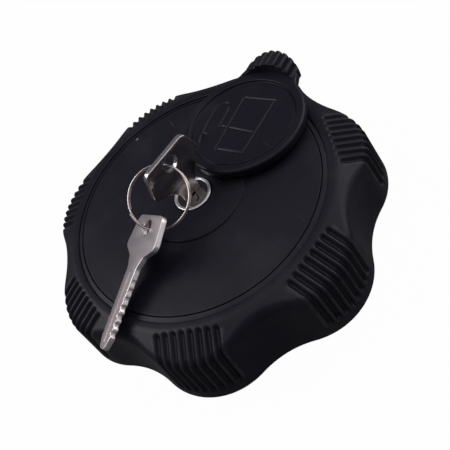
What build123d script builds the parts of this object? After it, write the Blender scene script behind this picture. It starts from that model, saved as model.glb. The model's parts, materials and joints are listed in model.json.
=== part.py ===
"""Locking fuel filler cap: ribbed grip, swing cover over the lock, two keys, bayonet closure.

Millimetres, +Z up. The origin is on the cap's axis, in the flat face of the bayonet plate that the
cap rests on. The top plate's edge is TOP_Z above it.
"""

import os
from math import asin, cos, degrees, hypot, pi, radians, sin, tan

from build123d import *

# ---------------------------------------------------------------- driving sizes
# grip
LOBES = 7
LOBE_ANGLE = 31.0  # direction of the first lobe
TIP_R = 71.3  # lobe tips, at the skirt's bottom edge
LOBE_DEPTH = 7.4  # valley between two lobes, below their tips
CROWN_R = 27.0  # rounding of a lobe in plan
TOP_Z = 39.0  # height of the top plate's edge
SKIRT_H = 28.6  # top plate's edge to the skirt's bottom
DRAFT = 4.9  # the skirt widens downwards, degrees
WALL = 3.0
FLAT_W = 3.5  # flat rim round the top plate, before the shoulder
SHOULDER_SLOPE = 23.0  # fall of the shoulder, degrees
EDGE_R = 5.0  # rounding between shoulder and skirt
EDGE_BAND = 8.0  # that edge runs at least this far above the skirt's bottom
RIB_T = 1.8
RING_WALL_T = 2.2
RING_WALL_H = 14.0
RIB_H = 12.0
GROOVES = 8  # on each lobe
GROOVE_PITCH = 3.3
GROOVE_W = 1.7
GROOVE_DEPTH = 1.3
GROOVE_INSET = 0.5  # from the shoulder's start to the grooves' inner ends
GROOVE_FOOT = 5.0  # smooth rim below the grooves

# top plate
PLATE_R = 53.5
PLATE_CROWN_R = 51.5  # where the domed field steps down to the edge band
PLATE_SEAT = 2.9  # the plate's edge sits this far down in the grip
PLATE_T = 2.4
DOME_H = 2.0  # rise of the field at the axis
BOSS_R = 21.5
BOSS_H = 2.4  # boss edge above the plate's edge
BOSS_DISH = 0.5
SHELF_R = 30.0  # opening of the grip's shelf
SHELF_T = 3.1

# swing cover
COVER_R = 26.0
COVER_T = 4.4
COVER_REACH = 17.6  # pivot axis to cover centre, and to the cap's axis
COVER_PIVOT_ANGLE = 8.0  # where the pivot stands on the boss
COVER_OPEN_ANGLE = 28.0  # where the thumb tab points when open
COVER_TILT = 3.4  # follows the fall of the domed plate
COVER_TILT_ANGLE = 17.5
COVER_RIM_W = 3.6
COVER_GAP = 3.03  # pivot foot above the plate's edge level
TAB_HALF_W = 12.8
TAB_H = 4.4  # thumb tab above the rim
TAB_RIBS = 8
TAB_RIB_R = 2.0
TAB_RIB_PROUD = 1.1  # rib crests above the arch that carries them
TAB_GAP = 1.0  # disc's edge to the tab's inner face
TAB_L = 8.3  # tab's inner face to its outer end
TAB_BULGE = 5.0  # outer end in plan, middle beyond the corners
TAB_WALL = 1.6
PIVOT_R = 3.0
PIVOT_SCREW_R = 1.6
PIVOT_FLANGE_R = 4.3
PIVOT_FLANGE_T = 1.5
WASHER_T = 0.55

# lock
PLUG_R = 6.5
HEAD_WALL = 1.5  # lock head round the plug
HEAD_PROUD = 0.1  # lock face above the boss edge
HOUSING_WALL = 3.0  # lock housing round the plug, below its flange
HOUSING_FLANGE_W = 2.3
LIP_H = 0.25  # lock head's rim above the plug's face
SPIGOT_R = 5.0  # plug's lower bearing
SQUARE_W = 6.0  # plug's tail, in the cam disc
KEY_T = 2.2
BLADE_W = 8.4
KEY_L = 52.0
KEY_TOP = 27.8  # key's head above the plate's edge level
KEY_ANGLE = 17.9
WAFERS = 6

# key ring and the second key, as they hang
WIRE_D = 1.3
TURN_GAP = 0.03
RING_OD = 26.0
RING_CENTRE = (-10.84, -5.24, 16.9)  # heights from the plate's edge level
RING_NORMAL = (-0.19, -0.44, 0.88)
SPARE_HOLE = (-20.83, -10.02, 11.80)
SPARE_AXIS = (-0.8404, -0.4807, -0.2502)
SPARE_SIDE = (0.3364, -0.8248, 0.4545)

# closure
EAR_R = 36.0
EAR_HALF_ANGLE = 17.0
BAYONET_T = 2.5
BARREL_R = 27.0
BARREL_WALL = 2.6
FLANGE_R = 45.6
FLANGE_T = 3.0
CARRIER_SCREW_PCR = 39.0
CARRIER_SCREW_R = 1.9
CARRIER_HEAD_R = 3.5
CARRIER_HEAD_H = 2.2
PLATE_SCREW_PCR = 22.0
PLATE_SCREW_R = 1.5
PLATE_HEAD_R = 2.95
COLUMN_R = 3.6  # under each of the plate's screws
CHEEK_T = 2.4  # cheeks that guide the bolt
DECK_Z = 10.0
DECK_T = 2.6
BOLT_W = 10.0
BOLT_T = 2.4
BOLT_STROKE = 8.0  # over a quarter turn of the key
BOLT_TIP_R = 35.0
CAM_T = 2.2
CAM_PIN_R = 14.0
CAM_SCREW_R = 1.25
CAM_WASHER_R = 4.2
CAM_WASHER_T = 0.6
CAM_HEAD_R = 2.6
CAM_HEAD_H = 1.3
DRIVE_W = 0.9  # cross slots of the screws
SPRING_R = 33.0
SPRING_WIRE_D = 2.2
SPRING_TURNS = 2.5
GASKET_OR = 39.3
GASKET_T = 3.6
NECK_RIM_Z = 12.4  # the filler neck's rim meets the gasket here

# clearances
SLIDING_FIT = 0.10
RUNNING_FIT = 0.05
PLATE_GAP = 0.30
CARRIER_GAP = 0.40
HOUSING_GAP = 0.20
HEAD_GAP = 0.35
PART_GAP = 0.10
SCREW_FIT = 0.05
SPIGOT_GAP = 0.30
SINK_GAP = 0.25

# ---------------------------------------------------------------- derived levels and places
VALLEY_R = TIP_R - LOBE_DEPTH
SHOULDER_R = PLATE_R + FLAT_W
GROOVE_START_R = SHOULDER_R + GROOVE_INSET
SKIRT_Z = TOP_Z - SKIRT_H
SHELF_Z = TOP_Z - PLATE_SEAT - SHELF_T  # the shelf's underside
FLANGE_Z = SHELF_Z - FLANGE_T
RING_WALL_R = FLANGE_R + CARRIER_GAP
FACE_Z = TOP_Z + BOSS_H + HEAD_PROUD
HEAD_R = PLUG_R + HEAD_WALL
HOUSING_R = PLUG_R + HOUSING_WALL
TAB_START = COVER_R + TAB_GAP
TAB_END = TAB_START + TAB_L
HALF_PITCH = pi / LOBES
CROWN_C = TIP_R - CROWN_R
SCALLOP_C = ((VALLEY_R - CROWN_R) ** 2 - CROWN_C**2) / (
    2 * (VALLEY_R - CROWN_R) - 2 * CROWN_C * cos(HALF_PITCH)
)


def polar(radius, angle):
    """Point at a radius and an angle in degrees."""
    return (radius * cos(radians(angle)), radius * sin(radians(angle)))


def wound_wire(plane, radius, pitch, turns, wire_d):
    """Round wire wound round a plane's axis and centred on its origin, half a turn at a time."""
    with BuildPart() as wire:
        for i in range(round(2 * turns)):
            side = 1 if i % 2 == 0 else -1
            low = pitch * (i - turns) / 2
            start = plane.from_local_coords(Vector(side * radius, 0, low))
            end = plane.from_local_coords(Vector(-side * radius, 0, low + pitch / 2))
            with BuildSketch(Plane(origin=start, x_dir=plane.x_dir, z_dir=plane.y_dir)):
                Circle(wire_d / 2)
            across = plane.y_dir.cross(end - start) * side
            revolve(axis=Axis((start + end) / 2, across), revolution_arc=180)
    return wire.part


def lobed_outline(inset=0.0):
    """Plan of the grip: lobe crowns and scallops that run smoothly into each other."""
    with BuildSketch() as outline:
        with BuildLine():
            for i in range(LOBES):
                lobe = radians(LOBE_ANGLE) + 2 * HALF_PITCH * i
                crown = Vector(CROWN_C * cos(lobe), CROWN_C * sin(lobe))
                ends = []
                for side in (-1, 1):
                    a = lobe + side * HALF_PITCH
                    scallop = Vector(SCALLOP_C * cos(a), SCALLOP_C * sin(a))
                    ends.append(crown + (scallop - crown).normalized() * (CROWN_R - inset))
                tip = Vector((TIP_R - inset) * cos(lobe), (TIP_R - inset) * sin(lobe))
                ThreePointArc(ends[0], tip, ends[1])
                valley_a = lobe + HALF_PITCH
                valley = Vector(
                    (VALLEY_R - inset) * cos(valley_a), (VALLEY_R - inset) * sin(valley_a)
                )
                following = valley_a + HALF_PITCH
                next_crown = Vector(CROWN_C * cos(following), CROWN_C * sin(following))
                hollow = Vector(SCALLOP_C * cos(valley_a), SCALLOP_C * sin(valley_a))
                start = next_crown + (hollow - next_crown).normalized() * (CROWN_R - inset)
                ThreePointArc(ends[1], valley, start)
        make_face()
    return outline.sketch


def shoulder_profile(drop, top_drop):
    """Half section of everything below the shoulder, lowered by drop."""
    far = TIP_R + 10
    fall = tan(radians(SHOULDER_SLOPE))
    with BuildSketch(Plane.XZ) as profile:
        with BuildLine():
            Polyline(
                (0, SKIRT_Z - 1),
                (far, SKIRT_Z - 1),
                (far, TOP_Z - drop - (far - SHOULDER_R) * fall),
                (SHOULDER_R, TOP_Z - drop),
                (SHOULDER_R - 1, TOP_Z - top_drop),
                (0, TOP_Z - top_drop),
                close=True,
            )
        make_face()
    return profile.sketch


def brow_edges(body):
    """The edges between shoulder and skirt."""
    return body.edges().filter_by(
        lambda e: hypot(e.center().X, e.center().Y) > SHOULDER_R + 1
        and e.center().Z > SKIRT_Z + EDGE_BAND
        and abs(e.tangent_at(0.5).Z) < 0.6
    )


# ---------------------------------------------------------------- grip shell
# Space under the shell: the outline moved in by the wall, the shoulder lowered by it.
with BuildPart() as shell_cavity:
    with BuildSketch(Plane.XY.offset(SKIRT_Z - 1)):
        add(lobed_outline(WALL - tan(radians(DRAFT))))
    extrude(amount=SKIRT_H + 2, taper=DRAFT)
    add(shoulder_profile(WALL + 0.2, PLATE_SEAT + SHELF_T))
    revolve(axis=Axis.Z, mode=Mode.INTERSECT)

# The surface that the bottoms of the grip grooves follow.
with BuildPart() as groove_floor:
    with BuildSketch(Plane.XY.offset(SKIRT_Z)):
        add(lobed_outline(GROOVE_DEPTH))
    extrude(amount=SKIRT_H + 2, taper=DRAFT)
    add(shoulder_profile(GROOVE_DEPTH, GROOVE_DEPTH))
    revolve(axis=Axis.Z, mode=Mode.INTERSECT)
    fillet(brow_edges(groove_floor), radius=EDGE_R - GROOVE_DEPTH)

with BuildPart() as groove_cutters:
    with BuildSketch(Plane.XY.offset(SKIRT_Z + GROOVE_FOOT)):
        groove_l = TIP_R + 5 - GROOVE_START_R
        rows = [(k - (GROOVES - 1) / 2) * GROOVE_PITCH for k in range(GROOVES)]
        with PolarLocations(0, LOBES, start_angle=LOBE_ANGLE):
            with Locations(*[(GROOVE_START_R + groove_l / 2, y) for y in rows]):
                SlotOverall(groove_l, GROOVE_W)
    extrude(amount=SKIRT_H)
    add(groove_floor.part, mode=Mode.SUBTRACT)

with BuildPart() as grip_shell:
    with BuildSketch(Plane.XY.offset(SKIRT_Z)):
        add(lobed_outline())
    extrude(amount=SKIRT_H + 2, taper=DRAFT)
    add(shoulder_profile(0, 0))
    revolve(axis=Axis.Z, mode=Mode.INTERSECT)
    fillet(brow_edges(grip_shell), radius=EDGE_R)
    add(shell_cavity.part, mode=Mode.SUBTRACT)
    add(groove_cutters.part, mode=Mode.SUBTRACT)
    # recess of the top plate and opening of the shelf
    with BuildSketch(Plane.XY.offset(TOP_Z - PLATE_SEAT)):
        Circle(PLATE_R + PLATE_GAP)
    extrude(amount=PLATE_SEAT + 1, mode=Mode.SUBTRACT)
    with BuildSketch(Plane.XY.offset(SKIRT_Z)):
        Circle(SHELF_R)
    extrude(amount=SKIRT_H, mode=Mode.SUBTRACT)
    # ring wall round the closure, hanging from the shelf
    with BuildSketch(Plane.XY.offset(SHELF_Z - RING_WALL_H)):
        Circle(RING_WALL_R + RING_WALL_T)
        Circle(RING_WALL_R, mode=Mode.SUBTRACT)
    extrude(until=Until.NEXT)
    # stiffening ribs, one to each lobe and one to each valley
    rib_start = RING_WALL_R + RING_WALL_T / 2
    with BuildSketch(Plane.XY.offset(SHELF_Z - RIB_H)):
        for reach, first in ((TIP_R, LOBE_ANGLE), (VALLEY_R, LOBE_ANGLE + degrees(HALF_PITCH))):
            rib_end = reach - 1.4 * WALL
            with PolarLocations(0, LOBES, start_angle=first):
                with Locations(((rib_start + rib_end) / 2, 0)):
                    Rectangle(rib_end - rib_start, RIB_T)
    extrude(until=Until.NEXT)
    # screw holes for the carrier
    with BuildSketch(Plane.XY.offset(SHELF_Z)):
        with PolarLocations(CARRIER_SCREW_PCR, 4, start_angle=45):
            Circle(CARRIER_SCREW_R + SCREW_FIT)
    extrude(amount=SHELF_T, mode=Mode.SUBTRACT)
grip_shell.part.label = "grip_shell"

# ---------------------------------------------------------------- swing cover's frame
cover_tilt = radians(COVER_TILT)
cover_normal = Vector(
    sin(cover_tilt) * cos(radians(COVER_TILT_ANGLE)),
    sin(cover_tilt) * sin(radians(COVER_TILT_ANGLE)),
    cos(cover_tilt),
)
cover_towards = Vector(*polar(1, COVER_OPEN_ANGLE), 0)
cover_x = (cover_towards - cover_normal * cover_towards.dot(cover_normal)).normalized()
pivot_foot = Vector(*polar(COVER_REACH, COVER_PIVOT_ANGLE), TOP_Z + COVER_GAP)
cover_plane = Plane(origin=pivot_foot, x_dir=cover_x, z_dir=cover_normal)

# ---------------------------------------------------------------- top plate
PAD_BOTTOM = -6.3  # bearing pad's lower face, along the pivot from the cover's foot
PIVOT_SEAT = PAD_BOTTOM - PART_GAP - WASHER_T - RUNNING_FIT
COLLAR_R = 11.2
HOUSING_FLANGE_R = HOUSING_R + HOUSING_FLANGE_W
HOUSING_FLANGE_T = 2.0
with BuildPart() as top_plate:
    dome_z = DOME_H * (1 - (BOSS_R / PLATE_CROWN_R) ** 2)
    mid_r = (BOSS_R + PLATE_CROWN_R) / 2
    mid_z = DOME_H * (1 - (mid_r / PLATE_CROWN_R) ** 2)
    foot_r = PLATE_CROWN_R - 2
    with BuildSketch(Plane.XZ):
        with BuildLine():
            Line((HEAD_R + HEAD_GAP, TOP_Z + BOSS_H - BOSS_DISH), (BOSS_R - 0.6, TOP_Z + BOSS_H))
            Line((BOSS_R - 0.6, TOP_Z + BOSS_H), (BOSS_R, TOP_Z + BOSS_H - 0.4))
            Line((BOSS_R, TOP_Z + BOSS_H - 0.4), (BOSS_R, TOP_Z + dome_z))
            ThreePointArc(
                (BOSS_R, TOP_Z + dome_z), (mid_r, TOP_Z + mid_z), (PLATE_CROWN_R, TOP_Z)
            )
            Polyline(
                (PLATE_CROWN_R, TOP_Z),
                (PLATE_CROWN_R, TOP_Z - 0.5),
                (PLATE_R, TOP_Z - 1.1),
                (PLATE_R, TOP_Z - PLATE_SEAT),
                (foot_r, TOP_Z - PLATE_SEAT),
                (foot_r, TOP_Z - PLATE_T + 0.1),
            )
            ThreePointArc(
                (foot_r, TOP_Z - PLATE_T + 0.1),
                (mid_r, TOP_Z + mid_z - PLATE_T),
                (BOSS_R, TOP_Z + dome_z - PLATE_T),
            )
            Polyline(
                (BOSS_R, TOP_Z + dome_z - PLATE_T),
                (COLLAR_R, TOP_Z + dome_z - PLATE_T),
                (COLLAR_R, FLANGE_Z + FLANGE_T + HOUSING_FLANGE_T),
                (HEAD_R + HEAD_GAP, FLANGE_Z + FLANGE_T + HOUSING_FLANGE_T),
                (HEAD_R + HEAD_GAP, TOP_Z + BOSS_H - BOSS_DISH),
            )
        make_face()
    revolve(axis=Axis.Z)
    # bearing pad under the plate and the cover's bearing hole
    with BuildSketch(cover_plane.offset(PAD_BOTTOM)):
        Circle(5.2)
    extrude(amount=3.6)
    with BuildSketch(cover_plane.offset(PAD_BOTTOM - 1)):
        Circle(PIVOT_R + RUNNING_FIT)
    extrude(amount=10, mode=Mode.SUBTRACT)
    # the pad keeps clear of the lock
    with BuildSketch(Plane.XY.offset(FLANGE_Z)):
        Circle(HEAD_R + HEAD_GAP)
    extrude(amount=20, mode=Mode.SUBTRACT)
    # pip beside the lock that the open cover's rim stops over
    with BuildSketch(Plane.XY.offset(TOP_Z + BOSS_H - BOSS_DISH - 0.3)):
        with Locations((11.1, -4.2)):
            Circle(0.9)
    extrude(amount=1.2, taper=8)
top_plate.part.label = "top_plate"

# ---------------------------------------------------------------- swing cover
DISC_X = COVER_REACH
field_h = COVER_T - 0.6
with BuildPart() as cover_disc:
    with BuildSketch(cover_plane.offset(0.5)):
        with Locations((DISC_X, 0)):
            Circle(COVER_R)
            with BuildLine():
                Polyline(
                    (17.0, -19.0),
                    (20.6, -15.7),
                    (23.4, -13.8),
                    (28.0, -TAB_HALF_W),
                    (28.0, TAB_HALF_W),
                    (23.4, 13.8),
                    (20.6, 15.7),
                    (17.0, 19.0),
                    close=True,
                )
            make_face()
    extrude(amount=COVER_T - 0.5)
    # narrower foot of the rim, below its parting line
    with BuildSketch(cover_plane):
        with Locations((DISC_X, 0)):
            Circle(COVER_R - 0.6)
    extrude(amount=0.5)
    # sunk field inside the rim, and the groove round it
    with BuildSketch(cover_plane.offset(field_h)):
        with Locations((DISC_X, 0)):
            Circle(COVER_R - COVER_RIM_W)
    extrude(amount=1, mode=Mode.SUBTRACT)
    with BuildSketch(cover_plane.offset(field_h - 0.5)):
        with Locations((DISC_X, 0)):
            Circle(COVER_R - COVER_RIM_W)
            Circle(COVER_R - COVER_RIM_W - 0.8, mode=Mode.SUBTRACT)
    extrude(amount=1, mode=Mode.SUBTRACT)
    # hollow underside with the pivot boss left standing
    with BuildSketch(cover_plane.offset(-0.5)):
        with Locations((DISC_X, 0)):
            Circle(COVER_R - 2.2)
        Circle(5.4, mode=Mode.SUBTRACT)
    extrude(amount=2.3, mode=Mode.SUBTRACT)
    # blind hole of the pivot screw
    with BuildSketch(cover_plane.offset(-1)):
        Circle(PIVOT_SCREW_R + SCREW_FIT)
    extrude(amount=3.6, mode=Mode.SUBTRACT)

# thumb tab: ribbed barrel arch on short side walls, bulged at its outer end
tab_foot = 0.6
arch_r = (TAB_H**2 + TAB_HALF_W**2) / (2 * TAB_H)
arch_c = COVER_T + TAB_H - arch_r
core_r = arch_r - TAB_RIB_PROUD
rib_centre_r = arch_r - TAB_RIB_R
arch_span = 2 * degrees(asin((TAB_HALF_W - TAB_RIB_R) / rib_centre_r))
end_r = (TAB_HALF_W**2 + TAB_BULGE**2) / (2 * TAB_BULGE)
tab_plane = Plane(
    origin=cover_plane.from_local_coords(Vector(DISC_X, 0, 0)),
    x_dir=cover_plane.y_dir,
    z_dir=cover_plane.x_dir,
)
with BuildPart() as thumb_tab:
    with BuildSketch(tab_plane):
        with Locations((0, arch_c)):
            Circle(core_r)
            with PolarLocations(rib_centre_r, TAB_RIBS, start_angle=90 - arch_span / 2,
                                angular_range=arch_span, endpoint=True):
                Circle(TAB_RIB_R)
        with Locations((0, COVER_T - 20)):
            Rectangle(60, 40, mode=Mode.SUBTRACT)
        with Locations((0, (COVER_T + 0.5 + tab_foot) / 2)):
            Rectangle(2 * TAB_HALF_W, COVER_T + 0.5 - tab_foot)
    extrude(amount=TAB_END + 1)
    with BuildSketch(cover_plane.offset(-2)):
        with Locations((DISC_X + TAB_END - end_r, 0)):
            Circle(end_r)
        with Locations((DISC_X, 0)):
            Circle(TAB_START, mode=Mode.SUBTRACT)
        with Locations((DISC_X - 30, 0)):
            Rectangle(80, 80, mode=Mode.SUBTRACT)
    extrude(amount=16, mode=Mode.INTERSECT)
    # web from the disc's rim to the tab's inner face
    with BuildSketch(cover_plane.offset(tab_foot)):
        with Locations((DISC_X, 0)):
            Circle(TAB_START + 1)
            Circle(COVER_R - 1, mode=Mode.SUBTRACT)
        with Locations((DISC_X + TAB_START, 0)):
            Rectangle(14, 2 * TAB_HALF_W, mode=Mode.INTERSECT)
    extrude(amount=COVER_T - tab_foot)
    # thumb tab's hollow underside
    with BuildSketch(cover_plane.offset(tab_foot - 1)):
        with Locations((DISC_X + (TAB_START + TAB_END) / 2, 0)):
            Rectangle(TAB_END - TAB_START - 2 * TAB_WALL, 2 * (TAB_HALF_W - 3 * TAB_WALL))
    extrude(amount=COVER_T + 0.6, mode=Mode.SUBTRACT)

# fuel pump pictogram, engraved along the middle of the field
GLYPH_W = 0.8
with BuildPart() as pictogram:
    with BuildSketch(cover_plane.offset(field_h - 0.45)):
        with Locations((DISC_X - 1.2, -2.2)):
            Rectangle(27.0 + GLYPH_W, 13.4 + GLYPH_W)
            Rectangle(27.0 - GLYPH_W, 13.4 - GLYPH_W, mode=Mode.SUBTRACT)
        with Locations((DISC_X - 4.0, 1.0)):
            Rectangle(GLYPH_W, 16.2)
        with BuildLine():
            Spline(
                (DISC_X - 4.0, 9.1),
                (DISC_X + 1.5, 9.3),
                (DISC_X + 6.2, 10.2),
                (DISC_X + 7.9, 12.9),
                (DISC_X + 5.6, 15.6),
                (DISC_X - 1.5, 15.6),
                (DISC_X - 8.6, 14.3),
            )
        trace(line_width=GLYPH_W)
    extrude(amount=2)
    with BuildSketch(cover_plane.offset(field_h - 0.45)):
        with Locations(Location((DISC_X - 11.6, 12.6), -30)):
            SlotOverall(7.2, 2.2)
    extrude(amount=2)

with BuildPart() as swing_cover:
    add(cover_disc.part)
    add(thumb_tab.part)
    add(pictogram.part, mode=Mode.SUBTRACT)
swing_cover.part.label = "swing_cover"

# ---------------------------------------------------------------- cover pivot
with BuildPart() as cover_pivot_screw:
    with BuildSketch(cover_plane.offset(PIVOT_SEAT)):
        Circle(PIVOT_R)
    extrude(amount=-PIVOT_SEAT)
    with BuildSketch(cover_plane):
        Circle(PIVOT_SCREW_R)
    extrude(amount=2.4)
    with BuildSketch(cover_plane.offset(PIVOT_SEAT)):
        Circle(PIVOT_FLANGE_R)
    extrude(amount=-PIVOT_FLANGE_T)
    with BuildSketch(cover_plane.offset(PIVOT_SEAT - PIVOT_FLANGE_T)):
        Rectangle(1.3 * PIVOT_FLANGE_R, DRIVE_W)
        Rectangle(DRIVE_W, 1.3 * PIVOT_FLANGE_R)
    extrude(amount=0.8, mode=Mode.SUBTRACT)
cover_pivot_screw.part.label = "cover_pivot_screw"

with BuildPart() as cover_spring_washer:
    with BuildSketch(cover_plane.offset(PAD_BOTTOM - PART_GAP)):
        Circle(PIVOT_FLANGE_R)
        Circle(PIVOT_R + SLIDING_FIT, mode=Mode.SUBTRACT)
    extrude(amount=-WASHER_T)
cover_spring_washer.part.label = "cover_spring_washer"

# ---------------------------------------------------------------- lock housing
HOUSING_FLANGE_Z = FLANGE_Z + FLANGE_T
HOUSING_BOTTOM = DECK_Z + DECK_T
with BuildPart() as lock_housing:
    with BuildSketch(Plane.XZ):
        with BuildLine():
            Polyline(
                (PLUG_R + RUNNING_FIT, HOUSING_BOTTOM),
                (HOUSING_R, HOUSING_BOTTOM),
                (HOUSING_R, HOUSING_FLANGE_Z),
                (HOUSING_FLANGE_R, HOUSING_FLANGE_Z),
                (HOUSING_FLANGE_R, HOUSING_FLANGE_Z + HOUSING_FLANGE_T),
                (HEAD_R, HOUSING_FLANGE_Z + HOUSING_FLANGE_T),
                (HEAD_R, FACE_Z - 0.4),
                (HEAD_R - 0.4, FACE_Z),
                (HEAD_R - 0.9, FACE_Z),
                (HEAD_R - 1.1, FACE_Z - LIP_H),
                (PLUG_R + RUNNING_FIT, FACE_Z - LIP_H),
                close=True,
            )
        make_face()
    revolve(axis=Axis.Z)
lock_housing.part.label = "lock_housing"

# ---------------------------------------------------------------- lock plug
key_plane = Plane(
    origin=(0, 0, TOP_Z + KEY_TOP),
    x_dir=Vector(*polar(1, KEY_ANGLE), 0),
    z_dir=Vector(*polar(1, KEY_ANGLE - 90), 0),
)
KEY_TIP_Z = TOP_Z + KEY_TOP - KEY_L
PLUG_BOTTOM = HOUSING_BOTTOM + 0.2
CAM_Z = DECK_Z - 0.6 - CAM_T
turned_xy = Plane(origin=(0, 0, 0), x_dir=Vector(*polar(1, KEY_ANGLE), 0), z_dir=(0, 0, 1))
WAFER_T = 1.2
WAFER_PITCH = 3.4
wafer_levels = [KEY_TIP_Z + 3.4 + WAFER_PITCH * i for i in range(WAFERS)]
with BuildPart() as lock_plug:
    with BuildSketch(Plane.XY.offset(PLUG_BOTTOM)):
        Circle(PLUG_R)
    extrude(amount=FACE_Z - LIP_H - PLUG_BOTTOM)
    with BuildSketch(Plane.XY.offset(DECK_Z - 0.5)):
        Circle(SPIGOT_R)
    extrude(amount=PLUG_BOTTOM - DECK_Z + 0.5)
    with BuildSketch(Plane.XY.offset(CAM_Z + 0.2)):
        Rectangle(SQUARE_W, SQUARE_W)
    extrude(amount=DECK_Z - 0.5 - CAM_Z - 0.2)
    # keyway
    with BuildSketch(turned_xy.offset(KEY_TIP_Z - 0.3)):
        Rectangle(BLADE_W + 0.4, KEY_T + 0.2)
    extrude(amount=60, mode=Mode.SUBTRACT)
    # wafer slots
    for level in wafer_levels:
        with BuildSketch(turned_xy.offset(level - 0.1)):
            Rectangle(11.5, 6.4)
        extrude(amount=WAFER_T + 0.2, mode=Mode.SUBTRACT)
    # threaded hole for the cam screw
    with BuildSketch(Plane.XY.offset(CAM_Z)):
        Circle(CAM_SCREW_R + SCREW_FIT)
    extrude(amount=6, mode=Mode.SUBTRACT)
lock_plug.part.label = "lock_plug"

with BuildPart() as wafer_tumblers:
    for level in wafer_levels:
        with BuildSketch(turned_xy.offset(level)):
            Rectangle(11.2, 6.0)
            Rectangle(BLADE_W + 0.5, KEY_T + 0.4, mode=Mode.SUBTRACT)
        extrude(amount=WAFER_T)
wafer_tumblers.part.label = "wafer_tumblers"

# ---------------------------------------------------------------- keys
HEAD_W = 22.0
BOW_W = 26.6
BOW_H = 12.7
NECK_W = 13.6
NECK_S = 16.3
BLADE_S = 21.0
KEY_HOLE_S = 5.1
KEY_HOLE_R = 3.3
half_blade = BLADE_W / 2
cuts = [0.5, 1.1, 0.7, 1.3, 0.9, 0.6]
cut_pitch = 3.6
with BuildSketch() as key_profile:
    with BuildLine():
        right = [(HEAD_W / 2, 0), (BOW_W / 2, -BOW_H), (NECK_W / 2, -NECK_S), (half_blade, -BLADE_S)]
        for i, depth in enumerate(cuts):
            s = -(BLADE_S + 5.0 + cut_pitch * i)
            right += [
                (half_blade, s + 1.2),
                (half_blade - depth, s + 0.4),
                (half_blade - depth, s - 0.4),
                (half_blade, s - 1.2),
            ]
        right += [(half_blade, -KEY_L + 4.0), (1.2, -KEY_L)]
        left = [(-x, y) for x, y in reversed(right)]
        Polyline(*right, *left, close=True)
    make_face()
    corners = key_profile.vertices().filter_by(lambda v: v.Y > -NECK_S - 0.1)
    fillet(corners.filter_by(lambda v: v.Y > -0.1), radius=3.0)
    fillet(
        key_profile.vertices().filter_by(lambda v: abs(v.Y + BOW_H) < 0.1),
        radius=3.0,
    )
    fillet(
        key_profile.vertices().filter_by(lambda v: abs(v.Y + NECK_S) < 0.1),
        radius=2.0,
    )
    with Locations((0, -KEY_HOLE_S)):
        Circle(KEY_HOLE_R, mode=Mode.SUBTRACT)

with BuildPart() as key_in_lock:
    with BuildSketch(key_plane):
        add(key_profile.sketch)
    extrude(amount=KEY_T / 2, both=True)
    # milled groove on both flats of the blade
    for face in (key_plane.offset(KEY_T / 2 - 0.5), key_plane.offset(-KEY_T / 2 - 0.5)):
        with BuildSketch(face):
            with Locations((0, -(BLADE_S + KEY_L) / 2)):
                SlotOverall(KEY_L - BLADE_S - 5, 1.8, rotation=90)
        extrude(amount=1.0, mode=Mode.SUBTRACT)
key_in_lock.part.label = "key_in_lock"

spare_axis = Vector(*SPARE_AXIS).normalized()
spare_side = (Vector(*SPARE_SIDE) - spare_axis * Vector(*SPARE_SIDE).dot(spare_axis)).normalized()
spare_origin = Vector(*SPARE_HOLE) + Vector(0, 0, TOP_Z) - spare_axis * KEY_HOLE_S
spare_plane = Plane(origin=spare_origin, x_dir=spare_side, z_dir=spare_axis.cross(spare_side))
with BuildPart() as spare_key:
    with BuildSketch(spare_plane):
        add(key_profile.sketch)
    extrude(amount=KEY_T / 2, both=True)
    for face in (spare_plane.offset(KEY_T / 2 - 0.5), spare_plane.offset(-KEY_T / 2 - 0.5)):
        with BuildSketch(face):
            with Locations((0, -(BLADE_S + KEY_L) / 2)):
                SlotOverall(KEY_L - BLADE_S - 5, 1.8, rotation=90)
        extrude(amount=1.0, mode=Mode.SUBTRACT)
spare_key.part.label = "spare_key"

# ---------------------------------------------------------------- split ring
ring_z = Vector(*RING_NORMAL).normalized()
ring_centre = Vector(*RING_CENTRE) + Vector(0, 0, TOP_Z)
ring_pitch = WIRE_D + TURN_GAP
ring_plane = Plane(origin=ring_centre, x_dir=ring_z.cross(Vector(0, 0, 1)), z_dir=ring_z)
with BuildPart() as split_ring:
    add(wound_wire(ring_plane, (RING_OD - WIRE_D) / 2, ring_pitch, 2, WIRE_D))
split_ring.part.label = "split_ring"

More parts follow.
